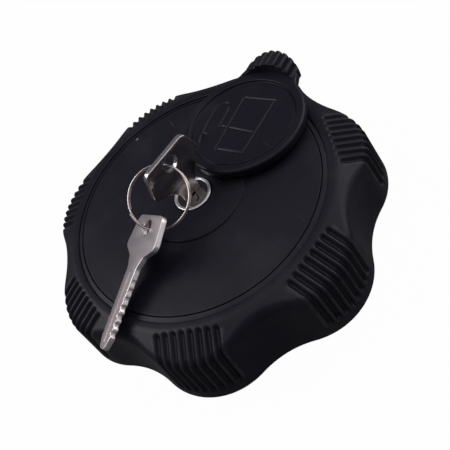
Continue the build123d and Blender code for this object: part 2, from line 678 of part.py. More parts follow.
# ---------------------------------------------------------------- inner carrier
TOWER_R = HOUSING_R + HOUSING_GAP + BARREL_WALL
guide_y = BOLT_W / 2 + SLIDING_FIT
with BuildPart() as inner_carrier:
    with BuildSketch(Plane.XZ):
        with BuildLine():
            Polyline(
                (SPIGOT_R + SPIGOT_GAP, DECK_Z),
                (BARREL_R - BARREL_WALL, DECK_Z),
                (BARREL_R - BARREL_WALL, BAYONET_T),
                (BARREL_R, BAYONET_T),
                (BARREL_R, FLANGE_Z),
                (FLANGE_R, FLANGE_Z),
                (FLANGE_R, FLANGE_Z + FLANGE_T),
                (BARREL_R - BARREL_WALL, FLANGE_Z + FLANGE_T),
                (BARREL_R - BARREL_WALL, DECK_Z + DECK_T),
                (TOWER_R, DECK_Z + DECK_T),
                (TOWER_R, FLANGE_Z + FLANGE_T),
                (HOUSING_R + HOUSING_GAP, FLANGE_Z + FLANGE_T),
                (HOUSING_R + HOUSING_GAP, DECK_Z + DECK_T),
                (SPIGOT_R + SPIGOT_GAP, DECK_Z + DECK_T),
                close=True,
            )
        make_face()
    revolve(axis=Axis.Z)
    # ribs between tower and barrel
    with BuildSketch(Plane.XY.offset(DECK_Z + DECK_T)):
        with PolarLocations((TOWER_R + BARREL_R - BARREL_WALL) / 2, 6, start_angle=38):
            Rectangle(BARREL_R - BARREL_WALL - TOWER_R + 1.0, RIB_T)
    extrude(amount=17)
    # columns for the bayonet plate's screws and cheeks that guide the bolt
    with BuildSketch(Plane.XY.offset(BAYONET_T)):
        with PolarLocations(PLATE_SCREW_PCR, 4, start_angle=45):
            Circle(COLUMN_R)
        cheek_y = guide_y + CHEEK_T / 2
        with Locations((21.4, cheek_y), (21.4, -cheek_y)):
            Rectangle(7.2, CHEEK_T)
    extrude(amount=DECK_Z - BAYONET_T)
    with BuildSketch(Plane.XY.offset(BAYONET_T)):
        with Locations((22, 0)):
            Rectangle(14, 2 * guide_y)
    extrude(amount=BOLT_T + 0.3, mode=Mode.SUBTRACT)
    with BuildSketch(Plane.XY.offset(BAYONET_T)):
        with PolarLocations(PLATE_SCREW_PCR, 4, start_angle=45):
            Circle(PLATE_SCREW_R + SCREW_FIT)
    extrude(amount=7.0, mode=Mode.SUBTRACT)
    with BuildSketch(Plane.XY.offset(FLANGE_Z)):
        with PolarLocations(CARRIER_SCREW_PCR, 4, start_angle=45):
            Circle(CARRIER_SCREW_R + HOUSING_GAP)
    extrude(amount=FLANGE_T, mode=Mode.SUBTRACT)
    # groove of the snap ring
    with BuildSketch(Plane.XY.offset(NECK_RIM_Z - 1.5)):
        Circle(BARREL_R + 1)
        Circle(BARREL_R - 0.9, mode=Mode.SUBTRACT)
    extrude(amount=1.2, mode=Mode.SUBTRACT)
inner_carrier.part.label = "inner_carrier"

with BuildPart() as carrier_screws:
    with BuildSketch(Plane.XY.offset(FLANGE_Z)):
        with PolarLocations(CARRIER_SCREW_PCR, 4, start_angle=45):
            Circle(CARRIER_SCREW_R)
    extrude(amount=FLANGE_T + SHELF_T - 0.3)
    with BuildSketch(Plane.XY.offset(FLANGE_Z)):
        with PolarLocations(CARRIER_SCREW_PCR, 4, start_angle=45):
            Circle(CARRIER_HEAD_R)
    extrude(amount=-CARRIER_HEAD_H)
    with BuildSketch(Plane.XY.offset(FLANGE_Z - CARRIER_HEAD_H)):
        with PolarLocations(CARRIER_SCREW_PCR, 4, start_angle=45):
            Rectangle(1.2 * CARRIER_HEAD_R, DRIVE_W)
            Rectangle(DRIVE_W, 1.2 * CARRIER_HEAD_R)
    extrude(amount=1.2, mode=Mode.SUBTRACT)
carrier_screws.part.label = "carrier_screws"

# ---------------------------------------------------------------- bayonet plate
with BuildPart() as bayonet_plate:
    with BuildSketch():
        Circle(BARREL_R)
        with Locations((0, 0)):
            with BuildLine():
                ear = radians(EAR_HALF_ANGLE)
                inner_r = BARREL_R - 3
                p = (inner_r * sin(-ear), inner_r * cos(ear))
                q = (EAR_R * sin(-ear), EAR_R * cos(ear))
                Line(p, q)
                ThreePointArc(q, (0, EAR_R), (-q[0], q[1]))
                Line((-q[0], q[1]), (-p[0], p[1]))
                Line((-p[0], p[1]), p)
            make_face()
        mirror(about=Plane.XZ)
    extrude(amount=BAYONET_T)
    with Locations(Plane.XY.rotated((180, 0, 0))):
        with PolarLocations(PLATE_SCREW_PCR, 4, start_angle=45):
            CounterSinkHole(
                PLATE_SCREW_R + HOUSING_GAP,
                PLATE_HEAD_R + SINK_GAP,
                depth=BAYONET_T,
                counter_sink_angle=90,
            )
bayonet_plate.part.label = "bayonet_plate"

with BuildPart() as plate_screws:
    with BuildSketch(Plane.XZ):
        with BuildLine():
            Polyline(
                (0, 0.15),
                (PLATE_HEAD_R, 0.15),
                (PLATE_SCREW_R, 0.15 + PLATE_HEAD_R - PLATE_SCREW_R),
                (PLATE_SCREW_R, BAYONET_T + 6.0),
                (0, BAYONET_T + 6.0),
                close=True,
            )
        make_face()
    revolve(axis=Axis.Z)
    with BuildSketch(Plane.XY):
        Rectangle(3.4, 0.7)
        Rectangle(0.7, 3.4)
    extrude(amount=1.0, mode=Mode.SUBTRACT)
screw_places = [Location((*polar(PLATE_SCREW_PCR, 45 + 90 * i), 0)) for i in range(4)]
plate_screw_set = Compound(
    label="plate_screws", children=[plate_screws.part.solid().moved(p) for p in screw_places]
)

# ---------------------------------------------------------------- bolt and cam
bolt_z = BAYONET_T + 0.1
pin_x = CAM_PIN_R
with BuildPart() as lock_bolt:
    with BuildSketch(Plane.XY.offset(bolt_z)):
        with Locations(((BOLT_TIP_R + pin_x - 4) / 2, 0)):
            Rectangle(BOLT_TIP_R - pin_x + 4, BOLT_W)
    extrude(amount=BOLT_T)
    chamfer(lock_bolt.edges().filter_by(Axis.Z), length=1.0)
    with BuildSketch(Plane.XY.offset(bolt_z)):
        with Locations((pin_x, 0)):
            Circle(1.5)
    extrude(amount=BOLT_T, mode=Mode.SUBTRACT)
lock_bolt.part.label = "lock_bolt"

with BuildPart() as bolt_pin:
    with BuildSketch(Plane.XY.offset(bolt_z)):
        with Locations((pin_x, 0)):
            Circle(1.5)
    extrude(amount=CAM_Z + CAM_T - 0.1 - bolt_z)
bolt_pin.part.label = "bolt_pin"

slot_half = 1.5 + SLIDING_FIT
with BuildPart() as cam_disc:
    with BuildSketch(Plane.XY.offset(CAM_Z)):
        Circle(CAM_PIN_R + 3.2)
        Rectangle(SQUARE_W + SLIDING_FIT, SQUARE_W + SLIDING_FIT, mode=Mode.SUBTRACT)
    extrude(amount=CAM_T)
    # spiral slot that draws the bolt in over a quarter turn
    with BuildSketch(Plane.XY.offset(CAM_Z)):
        with BuildLine():
            inner_pts = []
            outer_pts = []
            for a in range(0, 91, 6):
                r_here = CAM_PIN_R - BOLT_STROKE * a / 90.0
                outward = Vector(r_here, BOLT_STROKE / (pi / 2)).normalized()
                radial = Vector(*polar(1, a))
                around = Vector(*polar(1, a + 90))
                out = radial * outward.X + around * outward.Y
                at = Vector(*polar(r_here, a))
                outer_pts.append(at + out * slot_half)
                inner_pts.append(at - out * slot_half)
            Spline(*outer_pts)
            Line(outer_pts[-1], inner_pts[-1])
            Spline(*reversed(inner_pts))
            Line(inner_pts[0], outer_pts[0])
        make_face()
        with Locations(polar(CAM_PIN_R, 0), polar(CAM_PIN_R - BOLT_STROKE, 90)):
            Circle(slot_half)
    extrude(amount=CAM_T, mode=Mode.SUBTRACT)
cam_disc.part.label = "cam_disc"

with BuildPart() as cam_screw:
    with BuildSketch(Plane.XY.offset(CAM_Z)):
        Circle(CAM_SCREW_R)
    extrude(amount=5.6)
    with BuildSketch(Plane.XY.offset(CAM_Z)):
        Circle(CAM_WASHER_R)
    extrude(amount=-CAM_WASHER_T)
    with BuildSketch(Plane.XY.offset(CAM_Z - CAM_WASHER_T)):
        Circle(CAM_HEAD_R)
    extrude(amount=-CAM_HEAD_H)
    with BuildSketch(Plane.XY.offset(CAM_Z - CAM_WASHER_T - CAM_HEAD_H)):
        Rectangle(1.25 * CAM_HEAD_R, DRIVE_W)
    extrude(amount=0.8, mode=Mode.SUBTRACT)
cam_screw.part.label = "cam_screw"

# ---------------------------------------------------------------- sprung seal
HUB_T = 1.7
cup_r = GASKET_OR + 0.2
CUP_T = 1.5
seal_top = NECK_RIM_Z + GASKET_T
with BuildPart() as pressure_plate:
    with BuildSketch(Plane.XZ):
        with BuildLine():
            Polyline(
                (BARREL_R + SLIDING_FIT, NECK_RIM_Z - 0.1),
                (BARREL_R + SLIDING_FIT + HUB_T, NECK_RIM_Z - 0.1),
                (BARREL_R + SLIDING_FIT + HUB_T, seal_top),
                (cup_r, seal_top),
                (cup_r, NECK_RIM_Z + 0.8),
                (cup_r + CUP_T, NECK_RIM_Z + 0.8),
                (cup_r + CUP_T, seal_top + CUP_T),
                (BARREL_R + SLIDING_FIT, seal_top + CUP_T),
                close=True,
            )
        make_face()
    revolve(axis=Axis.Z)
pressure_plate.part.label = "pressure_plate"

with BuildPart() as gasket:
    with BuildSketch(Plane.XY.offset(NECK_RIM_Z)):
        Circle(GASKET_OR)
        Circle(BARREL_R + SLIDING_FIT + HUB_T + 0.2, mode=Mode.SUBTRACT)
    extrude(amount=GASKET_T)
gasket.part.label = "gasket"

spring_low = seal_top + CUP_T + PART_GAP + SPRING_WIRE_D / 2
spring_high = FLANGE_Z - PART_GAP - SPRING_WIRE_D / 2
spring_pitch = (spring_high - spring_low) / SPRING_TURNS
spring_plane = Plane.XY.offset((spring_low + spring_high) / 2)
with BuildPart() as pressure_spring:
    add(wound_wire(spring_plane, SPRING_R, spring_pitch, SPRING_TURNS, SPRING_WIRE_D))
pressure_spring.part.label = "pressure_spring"

with BuildPart() as snap_ring:
    with BuildSketch(Plane.XY.offset(NECK_RIM_Z - 1.4)):
        Circle(BARREL_R + 2.0)
        Circle(BARREL_R - 0.8, mode=Mode.SUBTRACT)
        with Locations((-BARREL_R, 0)):
            Rectangle(8, 7, mode=Mode.SUBTRACT)
    extrude(amount=1.0)
snap_ring.part.label = "snap_ring"

# ---------------------------------------------------------------- write the pieces
os.makedirs("parts", exist_ok=True)
export_step(grip_shell.part, "parts/grip_shell.step")
export_step(top_plate.part, "parts/top_plate.step")
export_step(swing_cover.part, "parts/swing_cover.step")
export_step(cover_pivot_screw.part, "parts/cover_pivot_screw.step")
export_step(cover_spring_washer.part, "parts/cover_spring_washer.step")
export_step(lock_housing.part, "parts/lock_housing.step")
export_step(lock_plug.part, "parts/lock_plug.step")
export_step(wafer_tumblers.part, "parts/wafer_tumblers.step")
export_step(key_in_lock.part, "parts/key_in_lock.step")
export_step(spare_key.part, "parts/spare_key.step")
export_step(split_ring.part, "parts/split_ring.step")
export_step(inner_carrier.part, "parts/inner_carrier.step")
export_step(carrier_screws.part, "parts/carrier_screws.step")
export_step(bayonet_plate.part, "parts/bayonet_plate.step")
export_step(plate_screw_set, "parts/plate_screws.step")
export_step(lock_bolt.part, "parts/lock_bolt.step")
export_step(bolt_pin.part, "parts/bolt_pin.step")
export_step(cam_disc.part, "parts/cam_disc.step")
export_step(cam_screw.part, "parts/cam_screw.step")
export_step(pressure_plate.part, "parts/pressure_plate.step")
export_step(gasket.part, "parts/gasket.step")
export_step(pressure_spring.part, "parts/pressure_spring.step")
export_step(snap_ring.part, "parts/snap_ring.step")
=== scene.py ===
"""Looks of a locking fuel filler cap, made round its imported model.

Size groups and node trees are in metres. Inside the pieces' own functions lengths are in
millimetres and angles in radians, and the finished mesh is scaled once.
"""

import json
from functools import partialmethod
from math import atan2, cos, pi, radians, sin, tan

import bmesh
import bpy
import numpy as np
from mathutils import Matrix, Vector


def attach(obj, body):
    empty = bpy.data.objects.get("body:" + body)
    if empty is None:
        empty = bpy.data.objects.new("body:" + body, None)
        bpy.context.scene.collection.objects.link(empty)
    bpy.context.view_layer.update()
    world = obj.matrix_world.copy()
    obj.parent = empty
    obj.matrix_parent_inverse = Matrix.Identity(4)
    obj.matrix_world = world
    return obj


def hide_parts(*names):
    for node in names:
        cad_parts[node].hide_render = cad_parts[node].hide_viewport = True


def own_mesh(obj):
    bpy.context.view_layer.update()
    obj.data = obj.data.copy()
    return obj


bl_info = {
    "name": "Fuel filler cap",
    "version": (1, 0, 0),
    "blender": (4, 5, 0),
    "location": "3D View > Sidebar > Filler cap",
    "description": "Builds the visible pieces of a locking fuel filler cap",
    "category": "Object",
}

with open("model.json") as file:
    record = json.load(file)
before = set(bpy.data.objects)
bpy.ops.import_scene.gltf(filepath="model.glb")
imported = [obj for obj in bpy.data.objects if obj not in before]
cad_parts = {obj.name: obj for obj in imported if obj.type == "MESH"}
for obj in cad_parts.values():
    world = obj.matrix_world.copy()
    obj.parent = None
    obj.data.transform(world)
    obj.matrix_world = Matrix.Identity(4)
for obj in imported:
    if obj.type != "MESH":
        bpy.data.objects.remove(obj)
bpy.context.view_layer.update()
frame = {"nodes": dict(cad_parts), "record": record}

MM = 0.001
TOP_Z = 39.0  # the grip's flat rim, from the bayonet plate's underside
LOW_Z = 10.4  # the skirt's bottom
SHELF_Z = 36.1
SHELF_UNDER_Z = 33.0
SOFTEN = np.array([1, 2, 3, 2, 1]) / 9  # takes the edge off creases in an outline


# ---- node trees
class Signal:
    """A socket of a node tree. Arithmetic on it adds Math nodes."""

    def __init__(self, graph, socket):
        self.graph = graph
        self.socket = socket

    def math(self, operation, *others):
        return self.graph.node("ShaderNodeMath", self, *others, operation=operation)

    __add__ = __radd__ = partialmethod(math, "ADD")
    __sub__ = partialmethod(math, "SUBTRACT")
    __mul__ = partialmethod(math, "MULTIPLY")
    __truediv__ = partialmethod(math, "DIVIDE")
    __neg__ = partialmethod(math, "MULTIPLY", -1.0)
    __abs__ = partialmethod(math, "ABSOLUTE")

    def __rsub__(self, other):
        return self.graph.number(other) - self

    def __rtruediv__(self, other):
        return self.graph.number(other) / self

    def ramp(self, low, high):
        """0 below low, 1 above high, smooth between; low may be the larger."""
        limits = {"From Min": low, "From Max": high, "interpolation_type": "SMOOTHSTEP"}
        return self.graph.node("ShaderNodeMapRange", self, **limits)


class Graph:
    """Adds nodes to one tree."""

    def __init__(self, tree):
        self.tree = tree

    def number(self, value):
        node = self.tree.nodes.new("ShaderNodeValue")
        node.outputs[0].default_value = value
        return Signal(self, node.outputs[0])

    def node(self, kind, *ordered, output=0, **named):
        """One node: inputs by order or by their capitalized names, settings in lower case."""
        made = self.tree.nodes.new(kind)
        for key in filter(str.islower, list(named)):
            setattr(made, key, named.pop(key))
        usable = [s for s in made.inputs if s.enabled]
        pairs = list(zip(usable, ordered))
        for key, value in named.items():
            pairs.append((next(s for s in usable if s.name == key), value))
        for socket, value in pairs:
            if isinstance(value, Signal):
                self.tree.links.new(value.socket, socket)
            else:
                socket.default_value = value
        outputs = [s for s in made.outputs if s.enabled]
        if isinstance(output, str):
            output = [s.name for s in outputs].index(output)
        return Signal(self, outputs[output])

    def finish(self, kind, value):
        """Links a value to the first input of the tree's output node."""
        out = self.tree.nodes.new(kind)
        self.tree.links.new(value.socket, out.inputs[0])

    def mix(self, factor, first, second):
        """Colour between two colours."""
        return self.node("ShaderNodeMix", Factor=factor, A=first, B=second, data_type="RGBA")

    def rays(self, *kinds):
        """For each kind of ray 1 where it arrives, else 0."""
        return [self.node("ShaderNodeLightPath", output=f"Is {kind} Ray") for kind in kinds]


# ---- mesh helpers
def scene_object(name, data):
    made = bpy.data.objects.new(name, data)
    bpy.context.scene.collection.objects.link(made)
    return made


def mesh_object(name, vertices, faces, attributes=None):
    """A mesh object from points in millimetres."""
    mesh = bpy.data.meshes.new(name)
    points = np.asarray(vertices, float) * MM
    mesh.from_pydata(points.tolist(), [], [tuple(int(i) for i in f) for f in faces])
    mesh.update()
    for key, values in (attributes or {}).items():
        layer = mesh.attributes.new(key, "FLOAT", "POINT")
        layer.data.foreach_set("value", np.asarray(values, np.float32).ravel())
    return scene_object(name, mesh)


def drop(made):
    """Removes an object and its mesh."""
    mesh = made.data
    bpy.data.objects.remove(made)
    bpy.data.meshes.remove(mesh)


def smooth_by_angle(made, angle=35.0):
    """Smooth faces, with creases above an angle in degrees kept sharp."""
    made.data.shade_smooth()
    made.data.set_sharp_from_angle(angle=radians(angle))


def outward(made):
    """Merges doubles and turns faces outwards."""
    work = bmesh.new()
    work.from_mesh(made.data)
    bmesh.ops.remove_doubles(work, verts=work.verts, dist=1e-7)
    bmesh.ops.recalc_face_normals(work, faces=work.faces)
    work.to_mesh(made.data)
    work.free()


def evaluated_mesh(made):
    """A copy of an object's mesh, with its modifiers applied or its curve filled."""
    bpy.context.view_layer.update()
    evaluated = made.evaluated_get(bpy.context.evaluated_depsgraph_get())
    return bpy.data.meshes.new_from_object(evaluated)


def apply_modifiers(made):
    mesh = evaluated_mesh(made)
    mesh.name = made.name
    made.modifiers.clear()
    made.data = mesh


def joined(name, pieces):
    """One object from several."""
    work = bmesh.new()
    layers = {a.name for p in pieces for a in p.data.attributes if a.data_type == "FLOAT"}
    for piece in pieces:
        for key in layers.difference(piece.data.attributes.keys()):
            piece.data.attributes.new(key, "FLOAT", "POINT")
        work.from_mesh(piece.data)
        drop(piece)
    mesh = bpy.data.meshes.new(name)
    work.to_mesh(mesh)
    work.free()
    return scene_object(name, mesh)


def placed(points, matrix):
    """Points moved by a matrix, in millimetres."""
    return np.asarray(points, float) @ np.array(matrix.to_3x3()).T + np.array(matrix.translation)


def axes_matrix(x_axis, y_axis, z_axis, origin=(0, 0, 0)):
    """Matrix that takes the world's axes to the given ones."""
    matrix = Matrix((x_axis, y_axis, z_axis)).transposed().to_4x4()
    matrix.translation = Vector(origin)
    return matrix


def unit_circle(segments):
    """Angles round a circle and the points at them."""
    angles = np.linspace(0, 2 * pi, segments, endpoint=False)
    return angles, np.stack([np.cos(angles), np.sin(angles)], 1)


def arc(x, y, radius, start, turn, steps):
    """Points along an arc, both ends included."""
    angles = [start + turn * k / steps for k in range(steps + 1)]
    return [(x + radius * cos(a), y + radius * sin(a)) for a in angles]


LONGEST_RUN = 0.48  # share of a line that the rounding of one of its ends may take


def rounded(corners, steps=4):
    """Closed section line whose corners, (x, y, radius) or sharp (x, y), become arcs."""
    line = []
    for i, (x, y, *radius) in enumerate(corners):
        here = np.array((x, y))
        before = np.array(corners[i - 1][:2]) - here
        after = np.array(corners[(i + 1) % len(corners)][:2]) - here
        reach_b, reach_a = np.linalg.norm(before), np.linalg.norm(after)
        before, after = before / reach_b, after / reach_a
        half = np.arccos(np.clip(before @ after, -1, 1)) / 2
        if not radius or half > radians(89.0):  # sharp, or hardly a corner
            line.append((x, y))
            continue
        run = min(radius[0] / tan(half), LONGEST_RUN * reach_b, LONGEST_RUN * reach_a)
        bow = run * tan(half)
        middle = here + (before + after) / np.linalg.norm(before + after) * bow / sin(half)
        start, end = here + before * run - middle, here + after * run - middle
        first = atan2(start[1], start[0])
        turn = (atan2(end[1], end[0]) - first + pi) % (2 * pi) - pi
        line += arc(*middle, bow, first, turn, steps)
    return line


def loop_faces(columns, rows, closed_rows=True):
    """Quads of a grid of columns times rows that closes round the columns."""
    c, r = np.meshgrid(np.arange(columns), np.arange(rows), indexing="ij")
    c2, r2 = (c + 1) % columns, (r + 1) % rows
    quads = np.stack([c * rows + r, c2 * rows + r, c2 * rows + r2, c * rows + r2], -1)
    return (quads if closed_rows else quads[:, :-1]).reshape(-1, 4)


def turned(name, section, segments, matrix=None):
    """Closed body turned round the vertical axis from a closed section of (radius, height)."""
    section = np.asarray(section, float)
    count = len(section)
    points = np.zeros((segments, count, 3))
    points[:, :, :2] = unit_circle(segments)[1][:, None, :] * section[None, :, :1]
    points[:, :, 2] = section[None, :, 1]
    points = placed(points.reshape(-1, 3), matrix or Matrix())
    made = mesh_object(name, points, loop_faces(segments, count))
    outward(made)
    smooth_by_angle(made)
    return made


def extruded(name, outlines, thickness, bevel, matrix, resolution=3):
    """Flat plate with rounded edges from closed outlines, the first the outer one."""
    curve = bpy.data.curves.new(name, "CURVE")
    curve.dimensions = "2D"
    curve.fill_mode = "BOTH"
    curve.extrude = (thickness / 2 - bevel) * MM
    curve.bevel_depth = bevel * MM
    curve.bevel_resolution = resolution
    curve.offset = -bevel * MM
    for outline in outlines:
        line = curve.splines.new("POLY")
        line.points.add(len(outline) - 1)
        for point, (x, y) in zip(line.points, outline):
            point.co = (x * MM, y * MM, 0, 1)
        line.use_cyclic_u = True
    blank = scene_object(name, curve)
    mesh = evaluated_mesh(blank)
    bpy.data.objects.remove(blank)
    bpy.data.curves.remove(curve)
    flat = matrix.copy()
    flat.translation *= MM
    mesh.transform(flat)
    made = scene_object(name, mesh)
    outward(made)
    return made


def finish_piece(made, material, slot, body, *nodes):
    """Gives a piece its material and its body, and hides the CAD nodes it stands for."""
    made.data.materials.clear()
    made.data.materials.append(material)
    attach(made, body)
    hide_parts(*nodes)


# ---- grip
LOBES = 7
FIRST_LOBE = radians(31.0)
TIP_R, VALLEY_R, CROWN_R = 71.3, 63.9, 27.0
DRAFT = tan(radians(4.9))
SHOULDER_R = 57.0
SHOULDER_FALL = tan(radians(23.0))
EDGE_R = 5.0
WALL = 3.0
LIP_R = 0.7  # rounding at the skirt's bottom
EASE = 1.3  # half of the soft break between the flat rim and the shoulder
RECESS_R = 53.8
SHELF_REACH = 57.4  # where the shelf's underside turns up to the shoulder's
SHELF_HOLE_R = 30.0
GROOVED_HALF = 13.6  # half of the width that a lobe's parallel section lines take
HALF_PITCH = pi / LOBES
CROWN_C = TIP_R - CROWN_R
SCALLOP_C = ((VALLEY_R - CROWN_R) ** 2 - CROWN_C**2) / (
    2 * (VALLEY_R - CROWN_R) - 2 * CROWN_C * cos(HALF_PITCH)
)
SCALLOP_R = SCALLOP_C - VALLEY_R


def outline_distance(x, y):
    """Signed distance to the lobed outline, inside a half pitch each side of a lobe on +X."""
    y = np.abs(y)
    hollow_x, hollow_y = SCALLOP_C * cos(HALF_PITCH), SCALLOP_C * sin(HALF_PITCH)
    side = (x - CROWN_C) * hollow_y - y * (hollow_x - CROWN_C)
    from_crown = np.hypot(x - CROWN_C, y) - CROWN_R
    from_hollow = SCALLOP_R - np.hypot(x - hollow_x, y - hollow_y)
    return np.where(side > 0, from_crown, from_hollow)


def grip_columns(dense=104, sparse=14):
    """Start points and directions of the section lines across one lobe's sector."""
    columns = [(0.0, GROOVED_HALF * (2 * (k + 0.5) / dense - 1), 0.0) for k in range(dense)]
    for k in range(1, sparse):
        f = k / sparse
        # the lines turn from parallel to the lobe to pointing from the axis
        turn = HALF_PITCH * (f * f * (3 - 2 * f) * 0.35 + f * 0.65)
        off = GROOVED_HALF * (1 - f)
        for side in (1, -1):
            columns.append((-off * sin(turn), side * off * cos(turn), side * turn))
    columns.append((0.0, 0.0, HALF_PITCH))
    return sorted(columns, key=lambda c: (c[2], c[1]))


def unit_rows(x, y):
    """Unit vectors from their two parts."""
    rows = np.stack([x, y], 1)
    return rows / np.linalg.norm(rows, axis=1)[:, None]


def grip_mesh(name):
    """The grip without its grooves: one closed band round the axis."""
    ox, oy, turn = np.array(grip_columns()).T
    dx, dy = np.cos(turn), np.sin(turn)
    n = len(ox)
    low, high = np.full(n, 50.0), np.full(n, 75.0)  # any skirt lies between these

    def radius_to_t(radius):
        along = ox * dx + oy * dy
        return -along + np.sqrt(along**2 - (ox**2 + oy**2) + radius**2)

    def skirt(t, z, inset=0.0):
        x, y = ox + dx * t, oy + dy * t
        return outline_distance(x, y) + inset + (z - LOW_Z) * DRAFT

    def shoulder_z(t, drop=0.0):
        r = np.hypot(ox + dx * t, oy + dy * t)
        return TOP_Z - drop - (r - SHOULDER_R) * SHOULDER_FALL

    def skirt_t(z_at, inset=0.0):
        """Where each line meets the skirt at heights that a function of t gives."""
        inner, outer = low, high
        for _ in range(40):
            middle = (inner + outer) / 2
            outside = skirt(middle, z_at(middle), inset) > 0
            inner, outer = np.where(outside, inner, middle), np.where(outside, middle, outer)
        return (inner + outer) / 2

    rows, skin = [], []

    def row(t, z, is_skin=0):
        rows.append(np.stack([t, np.broadcast_to(z, t.shape).astype(float)], 1))
        skin.append(is_skin)

    def skirt_row(z, inset=0.0, is_skin=0):
        row(skirt_t(lambda t: z, inset), z, is_skin)

    corner = skirt_t(shoulder_z)
    corner_z = shoulder_z(corner)
    # normals of the shoulder and the skirt in each line's plane, and the edge rounding's centre
    step = 0.01
    fall = (shoulder_z(corner + step) - shoulder_z(corner - step)) / (2 * step)
    rise = (skirt(corner + step, corner_z) - skirt(corner - step, corner_z)) / (2 * step)
    n1, n2 = unit_rows(-fall, np.ones(n)), unit_rows(rise, np.full(n, DRAFT))
    dot = (n1 * n2).sum(1)[:, None]
    hub_t, hub_z = (np.stack([corner, corner_z], 1) - EDGE_R * (n1 + n2) / (1 + dot)).T
    a1, a2 = np.arctan2(n1[:, 1], n1[:, 0]), np.arctan2(n2[:, 1], n2[:, 0])

    # the flat rim, from the recess outwards
    flat_start, flat_end = radius_to_t(RECESS_R), radius_to_t(SHOULDER_R)
    start_t = flat_end - EASE
    for outward_by, drop_by in ((0, 0.45), (0.12, 0.13), (0.45, 0)):
        row(flat_start + outward_by, TOP_Z - drop_by)
    row(flat_start + (start_t - flat_start) * 0.6, TOP_Z)
    # the shoulder, with a parabola that joins the flat to the slope
    fillet_t = hub_t + EDGE_R * np.cos(a1)
    slope = shoulder_z(flat_end + 1) - shoulder_z(flat_end)
    for k in range(21):
        t = start_t + (fillet_t - start_t) * k / 21
        u = (t - start_t) / (2 * EASE)
        row(t, np.where(u < 1, TOP_Z + slope * EASE * u * u, shoulder_z(t)), 1)
    for k in range(10):
        a = a1 + (a2 - a1) * k / 9
        row(hub_t + EDGE_R * np.cos(a), hub_z + EDGE_R * np.sin(a), 1)
    # the skirt and its rounded lip
    last_z = rows[-1][:, 1]
    for k in range(1, 35):
        skirt_row(last_z + (LOW_Z + LIP_R - last_z) * k / 34, 0.0, 1)
    for k in range(1, 4):
        a = (pi / 2) * k / 3
        skirt_row(np.full(n, LOW_Z + LIP_R * (1 - sin(a))), LIP_R * (1 - cos(a)))
    # inside of the skirt, the shoulder's underside and the shelf
    chamfer, wall_drop = 0.5, WALL + 0.2
    skirt_row(np.full(n, LOW_Z), WALL - chamfer)
    skirt_row(np.full(n, LOW_Z + chamfer), WALL)
    inner = skirt_t(lambda t: shoulder_z(t, wall_drop), WALL)
    inner_z = np.minimum(shoulder_z(inner, wall_drop), SHELF_UNDER_Z)
    for k in range(1, 7):
        skirt_row(LOW_Z + chamfer + (inner_z - 1.0 - LOW_Z - chamfer) * k / 6, WALL)
    under_t = rows[-1][:, 0]
    for t in (under_t - 1.2, np.minimum(radius_to_t(SHELF_REACH), under_t - 2.0)):
        row(t, np.minimum(shoulder_z(t, wall_drop), SHELF_UNDER_Z))
    for radius in (50.0, 40.0, SHELF_HOLE_R):
        row(radius_to_t(radius), SHELF_UNDER_Z)
    for radius in (SHELF_HOLE_R, 40.0, RECESS_R - 0.2):
        row(radius_to_t(radius), SHELF_Z)
    row(radius_to_t(RECESS_R), SHELF_Z + 0.2)

    t, z = np.moveaxis(np.stack(rows, 1), 2, 0)  # each line's rows
    x, y = ox[:, None] + dx[:, None] * t, oy[:, None] + dy[:, None] * t
    points = []
    for i in range(LOBES):
        a = FIRST_LOBE + 2 * HALF_PITCH * i
        points.append(np.stack([x * cos(a) - y * sin(a), x * sin(a) + y * cos(a), z], -1))
    points = np.concatenate(points, 0)
    skin = np.broadcast_to(np.array(skin, float), points.shape[:2])
    faces = loop_faces(*points.shape[:2])
    made = mesh_object(name, points.reshape(-1, 3), faces, {"skin": skin})
    outward(made)
    made.data.shade_smooth()
    return made


SOCKETS = {int: "NodeSocketInt", float: "NodeSocketFloat", tuple: "NodeSocketVector"}


def new_tree(name, inputs):
    """The graph of a Geometry Nodes tree and its inputs: geometry, the given ones, material."""
    tree = bpy.data.node_groups.new(name, "GeometryNodeTree")
    tree.interface.new_socket("Geometry", in_out="INPUT", socket_type="NodeSocketGeometry")
    for label, default in inputs.items():
        kind = SOCKETS[type(default)]
        socket = tree.interface.new_socket(label, in_out="INPUT", socket_type=kind)
        socket.default_value = default
    tree.interface.new_socket("Material", in_out="INPUT", socket_type="NodeSocketMaterial")
    tree.interface.new_socket("Geometry", in_out="OUTPUT", socket_type="NodeSocketGeometry")
    graph = Graph(tree)
    entry = tree.nodes.new("NodeGroupInput")
    return graph, *(Signal(graph, s) for s in entry.outputs if s.name)


def end_tree(graph, geometry, material):
    """Realizes what a tree made, sets its material, links the output and returns the tree."""
    real = graph.node("GeometryNodeRealizeInstances", geometry)
    painted = graph.node("GeometryNodeSetMaterial", Geometry=real, Material=material)
    graph.finish("NodeGroupOutput", painted)
    return graph.tree


def grown(made, tree, values):
    """Puts a tree on an object, sets its inputs and applies it."""
    modifier = made.modifiers.new(tree.name, "NODES")
    modifier.node_group = tree
    for item in tree.interface.items_tree:
        if item.in_out == "INPUT" and item.name in values:
            modifier[item.identifier] = values[item.name]
    apply_modifiers(made)
    return made


